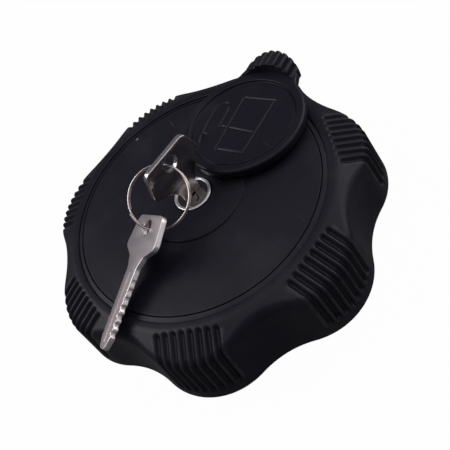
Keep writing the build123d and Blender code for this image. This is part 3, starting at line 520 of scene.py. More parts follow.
def groove_tree():
    """Presses rounded grooves into the skin of each lobe, in lines beside its middle."""
    g, geometry, *sizes, material = new_tree("Grip grooves", {
        "Lobes": 7.0, "First lobe": 0.5, "Grooves": 8.0, "Pitch": 0.0033, "Width": 0.0017,
        "Softness": 0.0009, "Depth": 0.0013, "Start": 0.0575, "Foot": 0.017,
    })
    lobes, first, count, pitch, width, softness, deep, start, foot = sizes
    position = g.node("GeometryNodeInputPosition")
    x, y, z = (g.node("ShaderNodeSeparateXYZ", position, output=i) for i in range(3))
    angle = y.math("ARCTAN2", x)
    sector = 2 * pi / lobes
    local = (angle - first) / sector
    local = (local - local.math("ROUND")) * sector
    radius = (x * x + y * y).math("SQRT")
    across = radius * local.math("SINE")
    along = radius * local.math("COSINE")
    half = count * 0.5
    # distance from the middle of the nearest groove, with no groove past the last one
    index = (across / pitch + half - 0.5).math("ROUND")
    index = index.math("MAXIMUM", 0.0).math("MINIMUM", count - 1)
    off = across - (index - half + 0.5) * pitch
    # rounded ends: distance from the groove's centre line
    before = (start + width * 0.5 - along).math("MAXIMUM", 0.0)
    below = (foot - z).math("MAXIMUM", 0.0)
    far = (off * off + before * before + below * below).math("SQRT")
    edge = width * 0.5
    soft = softness * 0.5
    press = far.ramp(edge + soft, edge - soft)
    skin = g.node("GeometryNodeInputNamedAttribute", "skin", data_type="FLOAT")
    normal = g.node("GeometryNodeInputNormal")
    depth = press * skin * deep
    offset = g.node("ShaderNodeVectorMath", normal, Scale=-depth, operation="SCALE")
    grip = g.node("GeometryNodeSetPosition", Geometry=geometry, Offset=offset)
    # the ridges beside the grooves, which hands rub, and whose crests the grip's material paints
    # lighter as a painted highlight
    beside = abs(off).ramp(pitch * 0.34, pitch * 0.5)
    beside = beside * abs(off).math("LESS_THAN", pitch * 0.75)
    # the groove mask also paints shade into the grooves; the ridge mask paints rub and a highlight
    # onto the ridges
    for label, value in (("groove", press), ("ridge", beside * (before + below).ramp(0.001, 0))):
        layer = {"Name": label, "Value": value * skin, "data_type": "FLOAT", "domain": "POINT"}
        grip = g.node("GeometryNodeStoreNamedAttribute", Geometry=grip, **layer)
    return end_tree(g, grip, material)


def rib_tree():
    """Stiffening ribs side by side in a ring."""
    g, _, ribs, first, inner, outer, thickness, low, high, material = new_tree("Stiffening ribs", {
        "Ribs": 7, "First": 0.0, "Inner radius": 0.047, "Outer radius": 0.0665,
        "Thickness": 0.0018, "Low": 0.021, "High": 0.0335,
    })
    length = outer - inner
    size = g.node("ShaderNodeCombineXYZ", length, thickness, high - low)
    blade = g.node("GeometryNodeMeshCube", Size=size)
    middle = (outer + inner) * 0.5
    middle = g.node("ShaderNodeCombineXYZ", middle, 0.0, (high + low) * 0.5)
    blade = g.node("GeometryNodeTransform", Geometry=blade, Translation=middle)
    points = g.node("GeometryNodePoints", Count=ribs)
    index = g.node("GeometryNodeInputIndex")
    angle = index * (2 * pi / ribs) + first
    turn = g.node("ShaderNodeCombineXYZ", 0.0, 0.0, angle)
    where = {"Points": points, "Instance": blade, "Rotation": turn}
    return end_tree(g, g.node("GeometryNodeInstanceOnPoints", **where), material)


# ---- swing cover
COVER_X = 17.6  # pivot to the disc's centre
COVER_LIFT = 3.03  # the cover's underside over the grip's rim, at the pivot


def cover_frame():
    """The cover's own axes: x towards its thumb tab, z up through its face."""
    lean, lean_to, tab_to, centre_to = (radians(a) for a in (3.4, 17.5, 28.0, 8.0))
    up = Vector((sin(lean) * cos(lean_to), sin(lean) * sin(lean_to), cos(lean)))
    to = Vector((cos(tab_to), sin(tab_to), 0.0))
    x_axis = (to - up * to.dot(up)).normalized()
    pivot = (COVER_X * cos(centre_to), COVER_X * sin(centre_to), TOP_Z + COVER_LIFT)
    return axes_matrix(x_axis, up.cross(x_axis), up, pivot)


COVER = cover_frame()
COVER_R = 26.0
COVER_T = 4.4
COVER_SOFT = 50.0  # degrees; sharper creases stay sharp
FIELD_R = 21.5
FIELD_Z = 3.8
HOLLOW_Z = 1.8
RIM_R = 22.95  # inner edge of the rim's flat
RIM_BEND = 1.15
RIM_END = 1.25  # from the outline to the last ring of the rim's flat
MOAT = [  # (radius, height) from the field to the rim's flat
    (21.62, 3.72), (21.72, 3.45), (21.9, 3.32), (22.15, 3.32), (22.35, 3.42), (22.46, 3.7),
    (22.52, 4.1), (22.66, 4.32), (RIM_R, COVER_T),
]
RIM_FOOT = [  # (distance inside the outline, height) down the rim's outside and round its foot
    (0.0, 2.4), (0.0, 1.15), (0.05, 0.95), (0.2, 0.88), (0.42, 0.86), (0.5, 0.78), (0.52, 0.4),
    (0.58, 0.12), (0.75, 0.0), (1.6, 0.0), (2.1, 0.0),
]
UNDERSIDE = [(23.8, 0.1), (23.75, 1.7), (23.6, HOLLOW_Z), (12.0, HOLLOW_Z), (1.0, HOLLOW_Z)]
TAB_HALF_W = 12.1
TAB_TOP = 9.0
TAB_START = 27.0  # disc's centre to the tab's inner face
TAB_END = 35.3
TAB_BULGE = 5.0  # middle of the outer end beyond its corners
TAB_TURN = radians(3.7)  # tab and neck, about the disc's centre
TAB_FOOT = 0.6
TAB_BEVEL = 0.5
TAB_RIBS, TAB_RIB_R, TAB_RIB_PROUD = 8, 1.65, 1.6
NECK = [(18.5, 18.2), (20.9, 15.7), (23.4, 13.8), (26.0, 13.0), (28.6, TAB_HALF_W)]
TANK = [(-14.4, -9.0), (13.2, -8.3), (12.2, 6.2), (-15.3, 3.9)]
TANK_SHELF = ((-4.0, -7.1), (-4.0, 9.1))
HOSE = [
    (-4.0, 9.1), (1.5, 9.3), (6.2, 10.2), (7.9, 12.9), (5.6, 15.6), (-1.5, 15.6), (-8.6, 14.3),
]
NOZZLE = ((-10.2, 13.2), (-13.0, 12.0))
NOZZLE_R = 1.1
SIGN_DEPTH = 0.42
SIGN_HALF_W = 0.62  # half of an engraved line's width
SIGN_SLOPE = 0.42  # width of its sloping side


def smooth_line(points, steps):
    """Points along a Catmull-Rom curve through the given ones."""
    ends = [points[0]] + list(points) + [points[-1]]
    line = []
    for i in range(1, len(ends) - 2):
        p0, p1, p2, p3 = (np.array(ends[i + k], float) for k in (-1, 0, 1, 2))
        for t in (k / steps for k in range(steps)):
            line.append(
                0.5 * (2 * p1 + (p2 - p0) * t + (2 * p0 - 5 * p1 + 4 * p2 - p3) * t * t
                       + (3 * p1 - p0 - 3 * p2 + p3) * t**3)
            )
    line.append(np.array(points[-1], float))
    return line


def distance_to_segment(points, start, end):
    start, end = np.array(start, float), np.array(end, float)
    along = end - start
    t = np.clip(((points - start) @ along) / (along @ along), 0, 1)
    return np.linalg.norm(points - start - t[:, None] * along, axis=1)


def pump_depth(points):
    """How deep the pump sign is cut at points of the field, from 0 to 1."""
    hose = smooth_line(HOSE, 12)
    far = distance_to_segment(points, *NOZZLE) - NOZZLE_R
    for start, end in [*zip(TANK, TANK[1:] + TANK[:1]), TANK_SHELF, *zip(hose[:-1], hose[1:])]:
        far = np.minimum(far, distance_to_segment(points, start, end))
    t = np.clip((SIGN_HALF_W - far) / SIGN_SLOPE, 0, 1)
    return t * t * (3 - 2 * t)


def rim_radius(angles):
    """Outer radius of the cover round its disc, with the neck that runs into the tab."""
    line = np.array(smooth_line(NECK, 8) + [np.array((NECK[-1][0], y)) for y in (8.0, 4.0, 0.0)])
    turn = np.arctan2(line[:, 1], line[:, 0])[::-1]
    reach = np.hypot(line[:, 0], line[:, 1])[::-1]
    folded = np.abs((angles - TAB_TURN + pi) % (2 * pi) - pi)
    neck = np.maximum(COVER_R, np.interp(folded, turn, reach))
    radius = np.where(folded < turn[-1], neck, COVER_R)
    return np.convolve(np.pad(radius, 2, mode="wrap"), SOFTEN, "valid")


def cover_disc(name, segments=480, rings=92):
    """The cover's disc: sunk field with the pump sign, moat, rim and hollow underside."""
    angles, ring = unit_circle(segments)
    outer = rim_radius(angles)
    points, engraved = [], []

    def circle(radius, z, depth=0.0):
        flat = ring * np.broadcast_to(radius, segments)[:, None]
        points.append(np.column_stack([flat, np.broadcast_to(z, segments)]))
        engraved.append(np.broadcast_to(depth, segments))

    for radius in [0.35, *np.linspace(0.6, FIELD_R, rings)]:
        depth = pump_depth(ring * radius)
        circle(radius, FIELD_Z - SIGN_DEPTH * depth, depth)
    for radius, z in MOAT:
        circle(radius, z)
    for share in (0.3, 0.65):
        circle(RIM_R + (outer - RIM_END - RIM_R) * share, COVER_T)
    for a in (pi / 2 * k / 7 for k in range(8)):
        circle(outer - RIM_BEND * (1 - sin(a)), COVER_T - RIM_BEND * (1 - cos(a)))
    for inset, z in RIM_FOOT:
        circle(outer - inset, z)
    for radius, z in UNDERSIDE:
        circle(radius, z)

    count = len(points)
    flat = np.concatenate([np.stack(points, 1).reshape(-1, 3), [(0, 0, FIELD_Z), (0, 0, HOLLOW_Z)]])
    flat[:, 0] += COVER_X
    top, bottom = len(flat) - 2, len(flat) - 1
    first = [i * count for i in range(segments)]
    after = first[1:] + first[:1]
    faces = list(loop_faces(segments, count, closed_rows=False))
    faces += [(i, top, j) for i, j in zip(first, after)]
    faces += [(i + count - 1, j + count - 1, bottom) for i, j in zip(first, after)]
    marks = np.concatenate([np.stack(engraved, 1).ravel(), [0, 0]])
    # the engraved depth also darkens the sign's lines in the cover's material, as painted shade
    made = mesh_object(name, placed(flat, COVER), faces, {"engraved": marks})
    outward(made)
    smooth_by_angle(made, COVER_SOFT)
    return made


def tab_profile():
    """Upper outline of the thumb tab's section: round ribs side by side on an arch."""
    rise = TAB_TOP - COVER_T
    arch_r = (rise**2 + TAB_HALF_W**2) / (2 * rise)
    rib_c = arch_r - TAB_RIB_R
    last = np.arcsin((TAB_HALF_W - TAB_RIB_R) / rib_c)
    limit = atan2(TAB_HALF_W, rib_c * cos(last))
    angles = np.linspace(-limit, limit, 260)
    radius = np.full(len(angles), arch_r - TAB_RIB_PROUD)
    for at in np.linspace(-last, last, TAB_RIBS):
        aside = rib_c * np.sin(angles - at)
        hit = np.sqrt(np.maximum(TAB_RIB_R**2 - aside**2, 0.0)) + rib_c * np.cos(angles - at)
        radius = np.where(np.abs(aside) < TAB_RIB_R, np.maximum(radius, hit), radius)
    radius = np.convolve(np.pad(radius, 2, mode="edge"), SOFTEN, "valid")
    return radius * np.sin(angles), TAB_TOP - arch_r + radius * np.cos(angles)


def thumb_tab(name):
    """Ribbed barrel arch on short side walls, its inner face along the cover's rim."""
    y, z = tab_profile()
    count = len(y)
    y = np.concatenate([y, y[::-1]])
    z = np.concatenate([z, np.full(count, TAB_FOOT)])
    end_r = (TAB_HALF_W**2 + TAB_BULGE**2) / (2 * TAB_BULGE)
    start = np.sqrt(TAB_START**2 - y**2)
    end = TAB_END - end_r + np.sqrt(end_r**2 - np.minimum(y**2, TAB_HALF_W**2))
    steps = [pi / 2 * k / 5 for k in range(6)]
    bends = [(TAB_BEVEL * (1 - cos(a)), TAB_BEVEL * (1 - sin(a))) for a in steps]
    rows = [(start + inward, shrink) for inward, shrink in bends]
    for share in (0.25, 0.5, 0.75):
        rows.append((start + TAB_BEVEL + (end - start - 2 * TAB_BEVEL) * share, 0.0))
    rows += [(end - inward, shrink) for inward, shrink in reversed(bends)]
    middle = np.array((0.0, 2.6))  # the bevels shrink the section towards this point
    off = np.stack([y, z], 1) - middle
    reach = np.linalg.norm(off, axis=1)[:, None]
    grid = []
    for x, shrink in rows:
        across, height = (middle + off * (reach - shrink) / reach).T
        turned_x = x * cos(TAB_TURN) - across * sin(TAB_TURN)
        turned_y = x * sin(TAB_TURN) + across * cos(TAB_TURN)
        grid.append(np.column_stack([turned_x + COVER_X, turned_y, height]))
    around = 2 * count
    faces = []
    for low in range(0, (len(grid) - 1) * around, around):
        high = low + around
        for j in range(around):
            k = (j + 1) % around
            faces.append((low + j, low + k, high + k, high + j))
    last = (len(grid) - 1) * around
    for j in range(count - 1):
        low = around - 1 - j
        faces.append((j, low, low - 1, j + 1))
        faces.append((last + j, last + j + 1, last + low - 1, last + low))
    made = mesh_object(name, placed(np.concatenate(grid), COVER), faces)
    outward(made)
    smooth_by_angle(made, COVER_SOFT)
    return made


# ---- keys
HALF_BLADE = 4.2
KEY_T = 2.2
KEY_L = 52.0
KEY_TOP_Z = 66.8
KEY_TURN = radians(17.9)
BLADE_S = 21.0  # head's top to the blade
HEAD = [(11.0, 0.0, 3.2), (13.9, -12.7, 2.8), (6.8, -16.3, 2.0), (HALF_BLADE, -BLADE_S, 3.0)]
TIP = [(HALF_BLADE - 0.3, -KEY_L + 4.0, 2.0), (2.2, -KEY_L, 2.0)]
CUTS = (0.2, 0.3, 0.35, 0.6, 1.0, 0.7, 0.9)
CUT_START = 5.0
CUT_PITCH = 3.25
CUT_BEND = 0.3
HOLE_S = 5.1  # head's top to the hole's centre
HOLE_R = 3.3
KEY_BEVEL = 0.28
MILLED_R = 0.95  # half of the width of the groove in a blade's flats
MILLED_DEPTH = 0.5
MILLED_TOP, MILLED_FOOT = -BLADE_S - 1.5, -KEY_L + 3.4  # centres of its round ends
SPARE_ALONG = (-0.8404, -0.4807, -0.2502)
SPARE_SIDE = (0.3364, -0.8248, 0.4545)
SPARE_HOLE = (-20.83, -10.02, TOP_Z + 11.8)


def key_outline():
    """Outline of a key, head at the top and its tip at -KEY_L."""
    other = [(-x, y, r) for x, y, r in reversed(cut_edge(0.4))]
    return rounded(cut_edge(1.0) + other, steps=5)


def cut_edge(share):
    """One long edge of a key, with a share of the full depth of the cuts."""
    side = list(HEAD)
    for i, depth in enumerate(CUTS):
        s = -(BLADE_S + CUT_START + CUT_PITCH * i)
        for off, cut in ((1.3, 0.0), (0.4, depth), (-0.4, depth), (-1.3, 0.0)):
            side.append((HALF_BLADE - cut * share, s + off, CUT_BEND))
    return side + TIP


def key_piece(name, matrix):
    """A key cut from plate, edges rounded, with a milled groove in both flats of its blade."""
    hole = arc(0.0, -HOLE_S, HOLE_R, 0.0, 2 * pi, 40)[:-1]
    made = extruded(name, [key_outline(), hole], KEY_T, KEY_BEVEL, matrix)
    slot = arc(0.0, MILLED_TOP, MILLED_R, 0.0, pi, 12)
    slot += arc(0.0, MILLED_FOOT, MILLED_R, pi, pi, 12)
    thick = 1.0
    for side in (1, -1):
        offset = Matrix.Translation((0, 0, side * (KEY_T / 2 + thick / 2 - MILLED_DEPTH)))
        cutter = extruded(name + "_cutter", [slot], thick, 0.01, matrix @ offset, 0)
        cut = made.modifiers.new("groove", "BOOLEAN")
        cut.object = cutter
        cut.operation = "DIFFERENCE"
        cut.solver = "EXACT"
        apply_modifiers(made)
        drop(cutter)
    smooth_by_angle(made, 32)
    return made


def key_matrix(top, x_axis, y_axis):
    """Places a key by the middle of its head, across its width and up its length."""
    x_axis, y_axis = Vector(x_axis).normalized(), Vector(y_axis).normalized()
    return axes_matrix(x_axis, y_axis, x_axis.cross(y_axis), top)


# ---- wire
RING_CENTRE = (-10.84, -5.24, TOP_Z + 16.9)
RING_UP = (-0.19, -0.44, 0.88)
SPRING_WIRE, SPRING_R, SPRING_TURNS = 0.0022, 0.033, 2.5


def wire_tree():
    """Wire wound round an axis: a spiral followed by a round section."""
    g, _, turns, radius, pitch, thick, steps, place, turn, material = new_tree("Wound wire", {
        "Turns": 2.0, "Radius": 0.01235, "Pitch": 0.00133, "Wire radius": 0.00064, "Steps": 96,
        "Centre": (0.0, 0.0, 0.0), "Turn": (0.0, 0.0, 0.0),
    })
    height = turns * pitch
    spiral = g.node("GeometryNodeCurveSpiral", steps, turns, radius, radius, height)
    centre = g.node("ShaderNodeCombineXYZ", 0.0, 0.0, height * -0.5)
    for move in ({"Translation": centre}, {"Translation": place, "Rotation": turn}):
        spiral = g.node("GeometryNodeTransform", Geometry=spiral, **move)
    section = g.node("GeometryNodeCurvePrimitiveCircle", Resolution=18, Radius=thick)
    swept = {"Curve": spiral, "Profile Curve": section, "Fill Caps": True}
    wire = g.node("GeometryNodeCurveToMesh", **swept)
    wire = g.node("GeometryNodeSetShadeSmooth", Geometry=wire)
    return end_tree(g, wire, material)


def wound(name, values):
    """A piece of wire; its sizes are in metres."""
    made = grown(mesh_object(name, [(0, 0, 0)], []), wire_tree(), values)
    outward(made)
    smooth_by_angle(made, 60)
    return made


# ---- materials
class Finish(Graph):
    """Adds nodes to a material, new or emptied, with one shader."""

    def __init__(self, name, base, metallic=0.0):
        self.material = bpy.data.materials.get(name) or bpy.data.materials.new(name)
        self.material.use_nodes = True
        super().__init__(self.material.node_tree)
        for node in list(self.tree.nodes):
            if node.bl_idname not in ("ShaderNodeBsdfPrincipled", "ShaderNodeOutputMaterial"):
                self.tree.nodes.remove(node)
        self.inputs = self.tree.nodes["Principled BSDF"].inputs
        self.inputs["Base Color"].default_value = (*base, 1)
        self.inputs["Metallic"].default_value = metallic
        self.material.diffuse_color = (*base, 1)
        self.where = self.node("ShaderNodeTexCoord", output="Object")

    def feed(self, socket, value):
        """Links a value or colour to a socket of the shader."""
        self.tree.links.new(value.socket, self.inputs[socket])

    def stretched(self, scale):
        return self.node("ShaderNodeMapping", Vector=self.where, Scale=scale)

    def noise(self, scale, detail, where=None, **more):
        where = where or self.where
        return self.node("ShaderNodeTexNoise", Vector=where, Scale=scale, Detail=detail, **more)

    def attribute(self, name):
        return self.node("ShaderNodeAttribute", attribute_name=name, output="Fac")

    def specks(self, scale, threshold):
        """Sparse round specks: 1 on a speck."""
        cells = {"Vector": self.where, "Scale": scale, "Randomness": 1.0, "feature": "F1"}
        cell = self.node("ShaderNodeTexVoronoi", **cells)
        pick = self.node("ShaderNodeTexVoronoi", output="Color", **cells)
        chance = self.node("ShaderNodeSeparateColor", pick)
        return cell.ramp(0.16, 0.08) * chance.math("GREATER_THAN", threshold)

    def bump(self, strength, distance, height):
        relief = {"Strength": strength, "Distance": distance, "Height": height}
        self.feed("Normal", self.node("ShaderNodeBump", **relief))


def tint(colour, *shares):
    """A colour times one share, or times one share for each channel, up to white."""
    return [min(1.0, v * share) for v, share in zip(colour, shares * (3 // len(shares)))]


DUST = (0.26, 0.26, 0.28, 1)
# how the brushed lines of a metal are stretched
ALONG_Y, HALF_Y, ALONG_Z, EVEN = (1.0, 0.12, 1.0), (1.0, 0.3, 1.0), (1.0, 1.0, 0.1), (1.0, 1.0, 1.0)


def moulded_plastic(name, base, scuffed_and_highlight, roughness, grain, recess_shade=None, ridge=None):
    """Satin moulded plastic: mould grain, flow mottling, dust, handling rub with a painted
    highlight on its ridges, and painted shade in its grooves and engraved lines.
    """
    g = Finish(name, base)
    mottle = g.noise(38.0, 4.0, Roughness=0.6)
    cloud = g.noise(210.0, 3.0)
    fine = g.noise(grain, 2.0)
    dust = g.specks(230.0, 0.972)
    marks = g.noise(900.0, 2.0, g.stretched((1.0, 0.06, 0.3))).ramp(0.68, 0.76)
    marks = marks * g.noise(26.0, 1.0).ramp(0.56, 0.68)
    wear_and_highlight = marks * 0.6 + mottle.ramp(0.45, 0.8) * 0.2
    # painted highlight and rub: the ridges' crests are lightened towards the scuff colour
    if ridge:
        wear_and_highlight = wear_and_highlight + g.attribute(ridge) * (0.1 + cloud.ramp(0.35, 0.65) * 0.3)
    colour = g.mix(wear_and_highlight.math("MINIMUM", 1.0), (*base, 1), (*scuffed_and_highlight, 1))
    # painted shade: the grooves and engraved lines are darkened towards a third of the base colour
    if recess_shade:
        colour = g.mix(g.attribute(recess_shade) * 0.55, colour, (*tint(base, 0.35), 1))
    g.feed("Base Color", g.mix(dust * 0.8, colour, DUST))
    gloss = roughness + (cloud - 0.5) * 0.10 + (mottle - 0.5) * 0.12 - marks * 0.06
    g.feed("Roughness", gloss + dust * 0.3)
    g.bump(0.22, 0.00006, fine + cloud * 0.5 - marks * 0.6 + dust * 1.5)
    g.inputs["Specular IOR Level"].default_value = 0.2
    return g.material


def plated_metal(name, base, dark, roughness, brush, scale=1.0, spots=0.0, relief=1.0):
    """Plated or plain metal: brushed lines, cloudy tarnish, nicks."""
    g = Finish(name, base, 1.0)
    lines = g.noise(700.0 * scale, 3.0, g.stretched(brush))
    cloud = g.noise(120.0 * scale, 4.0)
    fine = g.noise(900.0 * scale, 2.0)
    dull = cloud.ramp(0.42, 0.72) * 0.5 + lines.ramp(0.45, 0.8) * 0.25
    if spots > 0:
        dull = dull + g.specks(520.0, 0.9) * spots
    g.feed("Base Color", g.mix(dull.math("MINIMUM", 1.0), (*base, 1), (*dark, 1)))
    gloss = roughness + (cloud - 0.5) * (0.14 * relief) + (lines - 0.5) * (0.16 * relief)
    g.feed("Roughness", gloss)
    g.bump(0.25 * relief, 0.00004, lines + fine * 0.4)
    return g.material


def seal_rubber(name, base):
    """Matt rubber with a bloom and a fine skin."""
    g = Finish(name, base)
    bloom = g.noise(90.0, 4.0)
    skin = g.noise(1500.0, 2.0)
    pale = (*tint(base, 2.2), 1)
    g.feed("Base Color", g.mix(bloom.ramp(0.4, 0.8) * 0.5, (*base, 1), pale))
    g.feed("Roughness", 0.72 + (bloom - 0.5) * 0.2)
    g.bump(0.3, 0.00005, skin)
    return g.material


def finishes(c):
    """Each slot, or piece with a finish of its own: the maker of its material and its values."""
    # the plug's share of 0.12 of the nickel darkens it as a painted reflection and shadow of the
    # key
    plug, plug_pale, key_dark, spare = (tint(c.nickel, v) for v in (0.12, 0.35, 0.62, 1.35))
    ring = tint(c.nickel, 0.8, 0.74, 0.7)
    carrier, rubber = (0.02, 0.02, 0.021), (0.022, 0.022, 0.022)
    chrome_dark, zinc_dark = (0.5, 0.49, 0.48), (0.3, 0.29, 0.24)
    steel, steel_dark = (0.42, 0.43, 0.45), (0.2, 0.2, 0.21)
    brass, brass_dark = (0.72, 0.55, 0.25), (0.4, 0.3, 0.13)
    plastics = {
        # the groove and engraved masks darken those hollows as painted shade; the ridge mask
        # lightens the ridges as rub and painted highlight
        "shell_plastic": ("grip plastic", c.shell, c.scuff_and_highlight, c.gloss, 2600.0, "groove", "ridge"),
        "plate_plastic": ("plate plastic", c.plate, c.scuff_and_highlight, c.gloss + 0.03, 3000.0),
        "cover_plastic": ("cover plastic", c.shell, c.scuff_and_highlight, c.gloss - 0.02, 2800.0, "engraved"),
        "carrier_plastic": ("carrier plastic", carrier, c.scuff_and_highlight, 0.5, 2200.0),
    }
    metals = {
        "lock_metal": ("lock chrome", c.lock, chrome_dark, 0.3, ALONG_Y, 1.0, 0.3, 0.7),
        # painted reflection and shade: the plug's chrome is darkened to near black, for the dark
        # reflection and the shadow of the key
        "lock_plug": ("plug chrome", plug, plug_pale, 0.12, ALONG_Y, 1.0, 0.4, 0.3),
        "key_nickel": ("key nickel", c.nickel, key_dark, 0.2, ALONG_Z, 1.0, 0.2, 0.4),
        # painted light: the hanging key's nickel is a lighter copy of the keys' nickel
        "spare_key": ("spare nickel", spare, c.nickel, 0.4, ALONG_Z, 1.0, 0.2, 0.5),
        "ring_nickel": ("ring nickel", ring, tint(ring, 0.5), 0.2, EVEN, 1.0, 0.0, 0.6),
        "zinc_steel": ("zinc plated steel", c.steel, zinc_dark, 0.36, HALF_Y, 0.8, 0.3),
        "spring_steel": ("spring steel", steel, steel_dark, 0.34, EVEN),
        "brass": ("brass", brass, brass_dark, 0.35, (1.0, 0.2, 1.0)),
    }
    known = {"gasket_rubber": (seal_rubber, "seal rubber", rubber)}
    for maker, rows in ((moulded_plastic, plastics), (plated_metal, metals)):
        known.update({name: (maker, *values) for name, values in rows.items()})
    return known


def finish_named(slot, *others):
    """The material of the first name that has one, in the panel's colours."""
    known = finishes(bpy.context.scene.cap_colours)
    maker, *values = known[next(name for name in (slot, *others) if name in known)]
    return maker(*values)


# ---- settings
def length(name, description, default):
    return bpy.props.FloatProperty(
        name=name, description=description, default=default, min=0.0, precision=5, unit="LENGTH"
    )


def colour(name, description, default):
    return bpy.props.FloatVectorProperty(
        name=name, description=description, default=default, size=3, subtype="COLOR",
        min=0.0, max=1.0,
    )


class CapGripSizes(bpy.types.PropertyGroup):
    """Sizes of the grip's groove pattern."""

    pitch: length("Groove pitch", "From one groove to the next", 0.0033)
    width: length("Groove width", "Width of a groove at half its depth", 0.0017)
    depth: length("Groove depth", "Depth of a groove", 0.0013)
    softness: length("Groove softness", "Width of a groove's rounded edge", 0.0016)
    start: length("Groove start", "Distance of the grooves' inner ends from the axis", 0.0575)
    foot: length("Groove foot", "Height of the grooves' lower ends", 0.0166)
    grooves: bpy.props.IntProperty(
        name="Grooves", description="Grooves on each lobe", default=8, min=1
    )


class CapRingSizes(bpy.types.PropertyGroup):
    """Sizes of the split ring."""

    wire: length("Wire", "Diameter of the ring's wire", 0.0009)
    radius: length("Radius", "From the ring's centre to the wire's middle", 0.01235)
    pitch: length("Pitch", "From one turn of the wire to the next", 0.00126)
    turns: bpy.props.FloatProperty(
        name="Turns", description="How often the wire goes round", default=1.97, min=1.0
    )


class CapColours(bpy.types.PropertyGroup):
    """Colours and gloss of the cap."""

    shell: colour("Shell", "Grip and cover plastic", (0.0062, 0.0058, 0.0116))
    plate: colour("Plate", "Top plate plastic", (0.0066, 0.0062, 0.0120))
    # used for rubbed plastic and for the painted highlight on the grip's ridges
    scuff_and_highlight: colour("Scuff", "Rubbed plastic", (0.05, 0.05, 0.056))
    nickel: colour("Nickel", "Keys and ring", (0.62, 0.57, 0.57))
    lock: colour("Lock", "Lock face", (0.72, 0.71, 0.71))
    steel: colour("Steel", "Zinc-plated pieces", (0.52, 0.52, 0.5))
    gloss: bpy.props.FloatProperty(
        name="Roughness", description="Roughness of the plastic", default=0.4, min=0.0, max=1.0,
        subtype="FACTOR",
    )


# ---- operators
GROOVE_KEYS = ("Pitch", "Width", "Softness", "Depth", "Start", "Foot")
RIB_REACH = (0.0665, 0.0592)  # outer ends of the ribs in the lobes and in the valleys
DOME_RISE, DOME_R = 2.0, 51.5  # the plate's dome over its flat edge
# closed sections as (radius, height) and, where a corner is rounded, its rounding
CLOSURE_WALL = [(46.0, 19.0, 0.3), (48.2, 19.0, 0.3), (48.2, 33.3), (46.0, 33.3)]
PLATE_FOOT = [(8.35, 35.0), (11.2, 35.0), (11.2, 38.25), (21.5, 38.25)]
PLATE_EDGE = [
    (49.5, 36.1), (53.72, 36.1), (53.72, 38.45, 0.1), (51.95, 39.0, 0.05), (51.95, 37.0),
    (51.58, 37.0), (51.5, 39.05, 0.2),
]
PLATE_BOSS = [(22.1, 40.62, 0.1), (21.9, 41.42, 0.5), (8.35, 40.92, 0.25)]
STOP_PIP = [(0.0, 40.3), (0.95, 40.3), (0.8, 41.75, 0.35), (0.0, 41.8)]
PIP_AT = (11.1, -4.2, 0.0)
PLATE_T = 2.4
COVER_BOSS = [(1.7, 0.02), (5.4, 0.02, 0.2), (5.4, 2.2), (1.7, 2.2)]
LOCK_SLEEVE = [
    (6.55, 12.6), (9.5, 12.6, 0.3), (9.5, 33.0), (11.8, 33.0, 0.2), (11.8, 35.0, 0.2), (8.0, 35.0),
    (8.0, 41.5, 0.45), (7.0, 41.5, 0.15), (6.85, 41.25, 0.05), (6.55, 41.2, 0.05),
]


def dome(radii, drop=0.0):
    """Points of the plate's section on its dome, or a drop below it."""
    return [(r, TOP_Z - drop + DOME_RISE * (1 - (r / DOME_R) ** 2)) for r in radii]


class CAP_OT_grip(bpy.types.Operator):
    """Builds the lobed grip with its grooves and the ribs under it"""

    bl_idname = "cap.grip"
    bl_label = "Grip"

    def execute(self, context):
        sizes = context.scene.cap_grip
        material = finish_named("shell_plastic")
        grooves = {key: getattr(sizes, key.lower()) for key in GROOVE_KEYS}
        grooves |= {"Lobes": float(LOBES), "First lobe": FIRST_LOBE, "Material": material}
        grooves["Grooves"] = float(sizes.grooves)
        parts = [grown(grip_mesh("grip"), groove_tree(), grooves)]
        tree = rib_tree()
        for name, first, reach in (
            ("lobe_ribs", FIRST_LOBE, RIB_REACH[0]),
            ("valley_ribs", FIRST_LOBE + HALF_PITCH, RIB_REACH[1]),
        ):
            ribs = {"Ribs": LOBES, "First": first, "Outer radius": reach, "Material": material}
            parts.append(grown(mesh_object(name, [(0, 0, 0)], []), tree, ribs))
        parts.append(turned("closure_wall", rounded(CLOSURE_WALL), 160))
        made = joined("grip_shell_moulding", parts)
        smooth_by_angle(made, 40)
        finish_piece(made, material, "shell_plastic", "cap_body", "grip_shell")
        return {"FINISHED"}


class CAP_OT_plate(bpy.types.Operator):
    """Builds the domed top plate with the boss round the lock"""

    bl_idname = "cap.plate"
    bl_label = "Top plate"

    def execute(self, context):
        under = dome((23.0, 36.0, 49.5), PLATE_T)
        over = dome(np.linspace(50.0, 23.0, 22))
        section = [*PLATE_FOOT, *under, *PLATE_EDGE, *over, *PLATE_BOSS]
        made = turned("top_plate_body", rounded(section, steps=5), 256)
        nub = turned("stop_pip", rounded(STOP_PIP), 24, Matrix.Translation(PIP_AT))
        made = joined("top_plate_moulding", [made, nub])
        smooth_by_angle(made, 42)
        finish_piece(made, finish_named("plate_plastic"), "plate_plastic", "cap_body", "top_plate")
        return {"FINISHED"}


class CAP_OT_cover(bpy.types.Operator):
    """Builds the swing cover with the pump sign and its ribbed thumb tab"""

    bl_idname = "cap.cover"
    bl_label = "Swing cover"

    def execute(self, context):
        disc = cover_disc("cover_disc")
        tab = thumb_tab("cover_tab")
        boss = turned("cover_boss", rounded(COVER_BOSS), 48, COVER)
        made = joined("swing_cover_moulding", [disc, tab, boss])
        smooth_by_angle(made, COVER_SOFT)
        finish_piece(made, finish_named("cover_plastic"), "cover_plastic", "cover", "swing_cover")
        return {"FINISHED"}


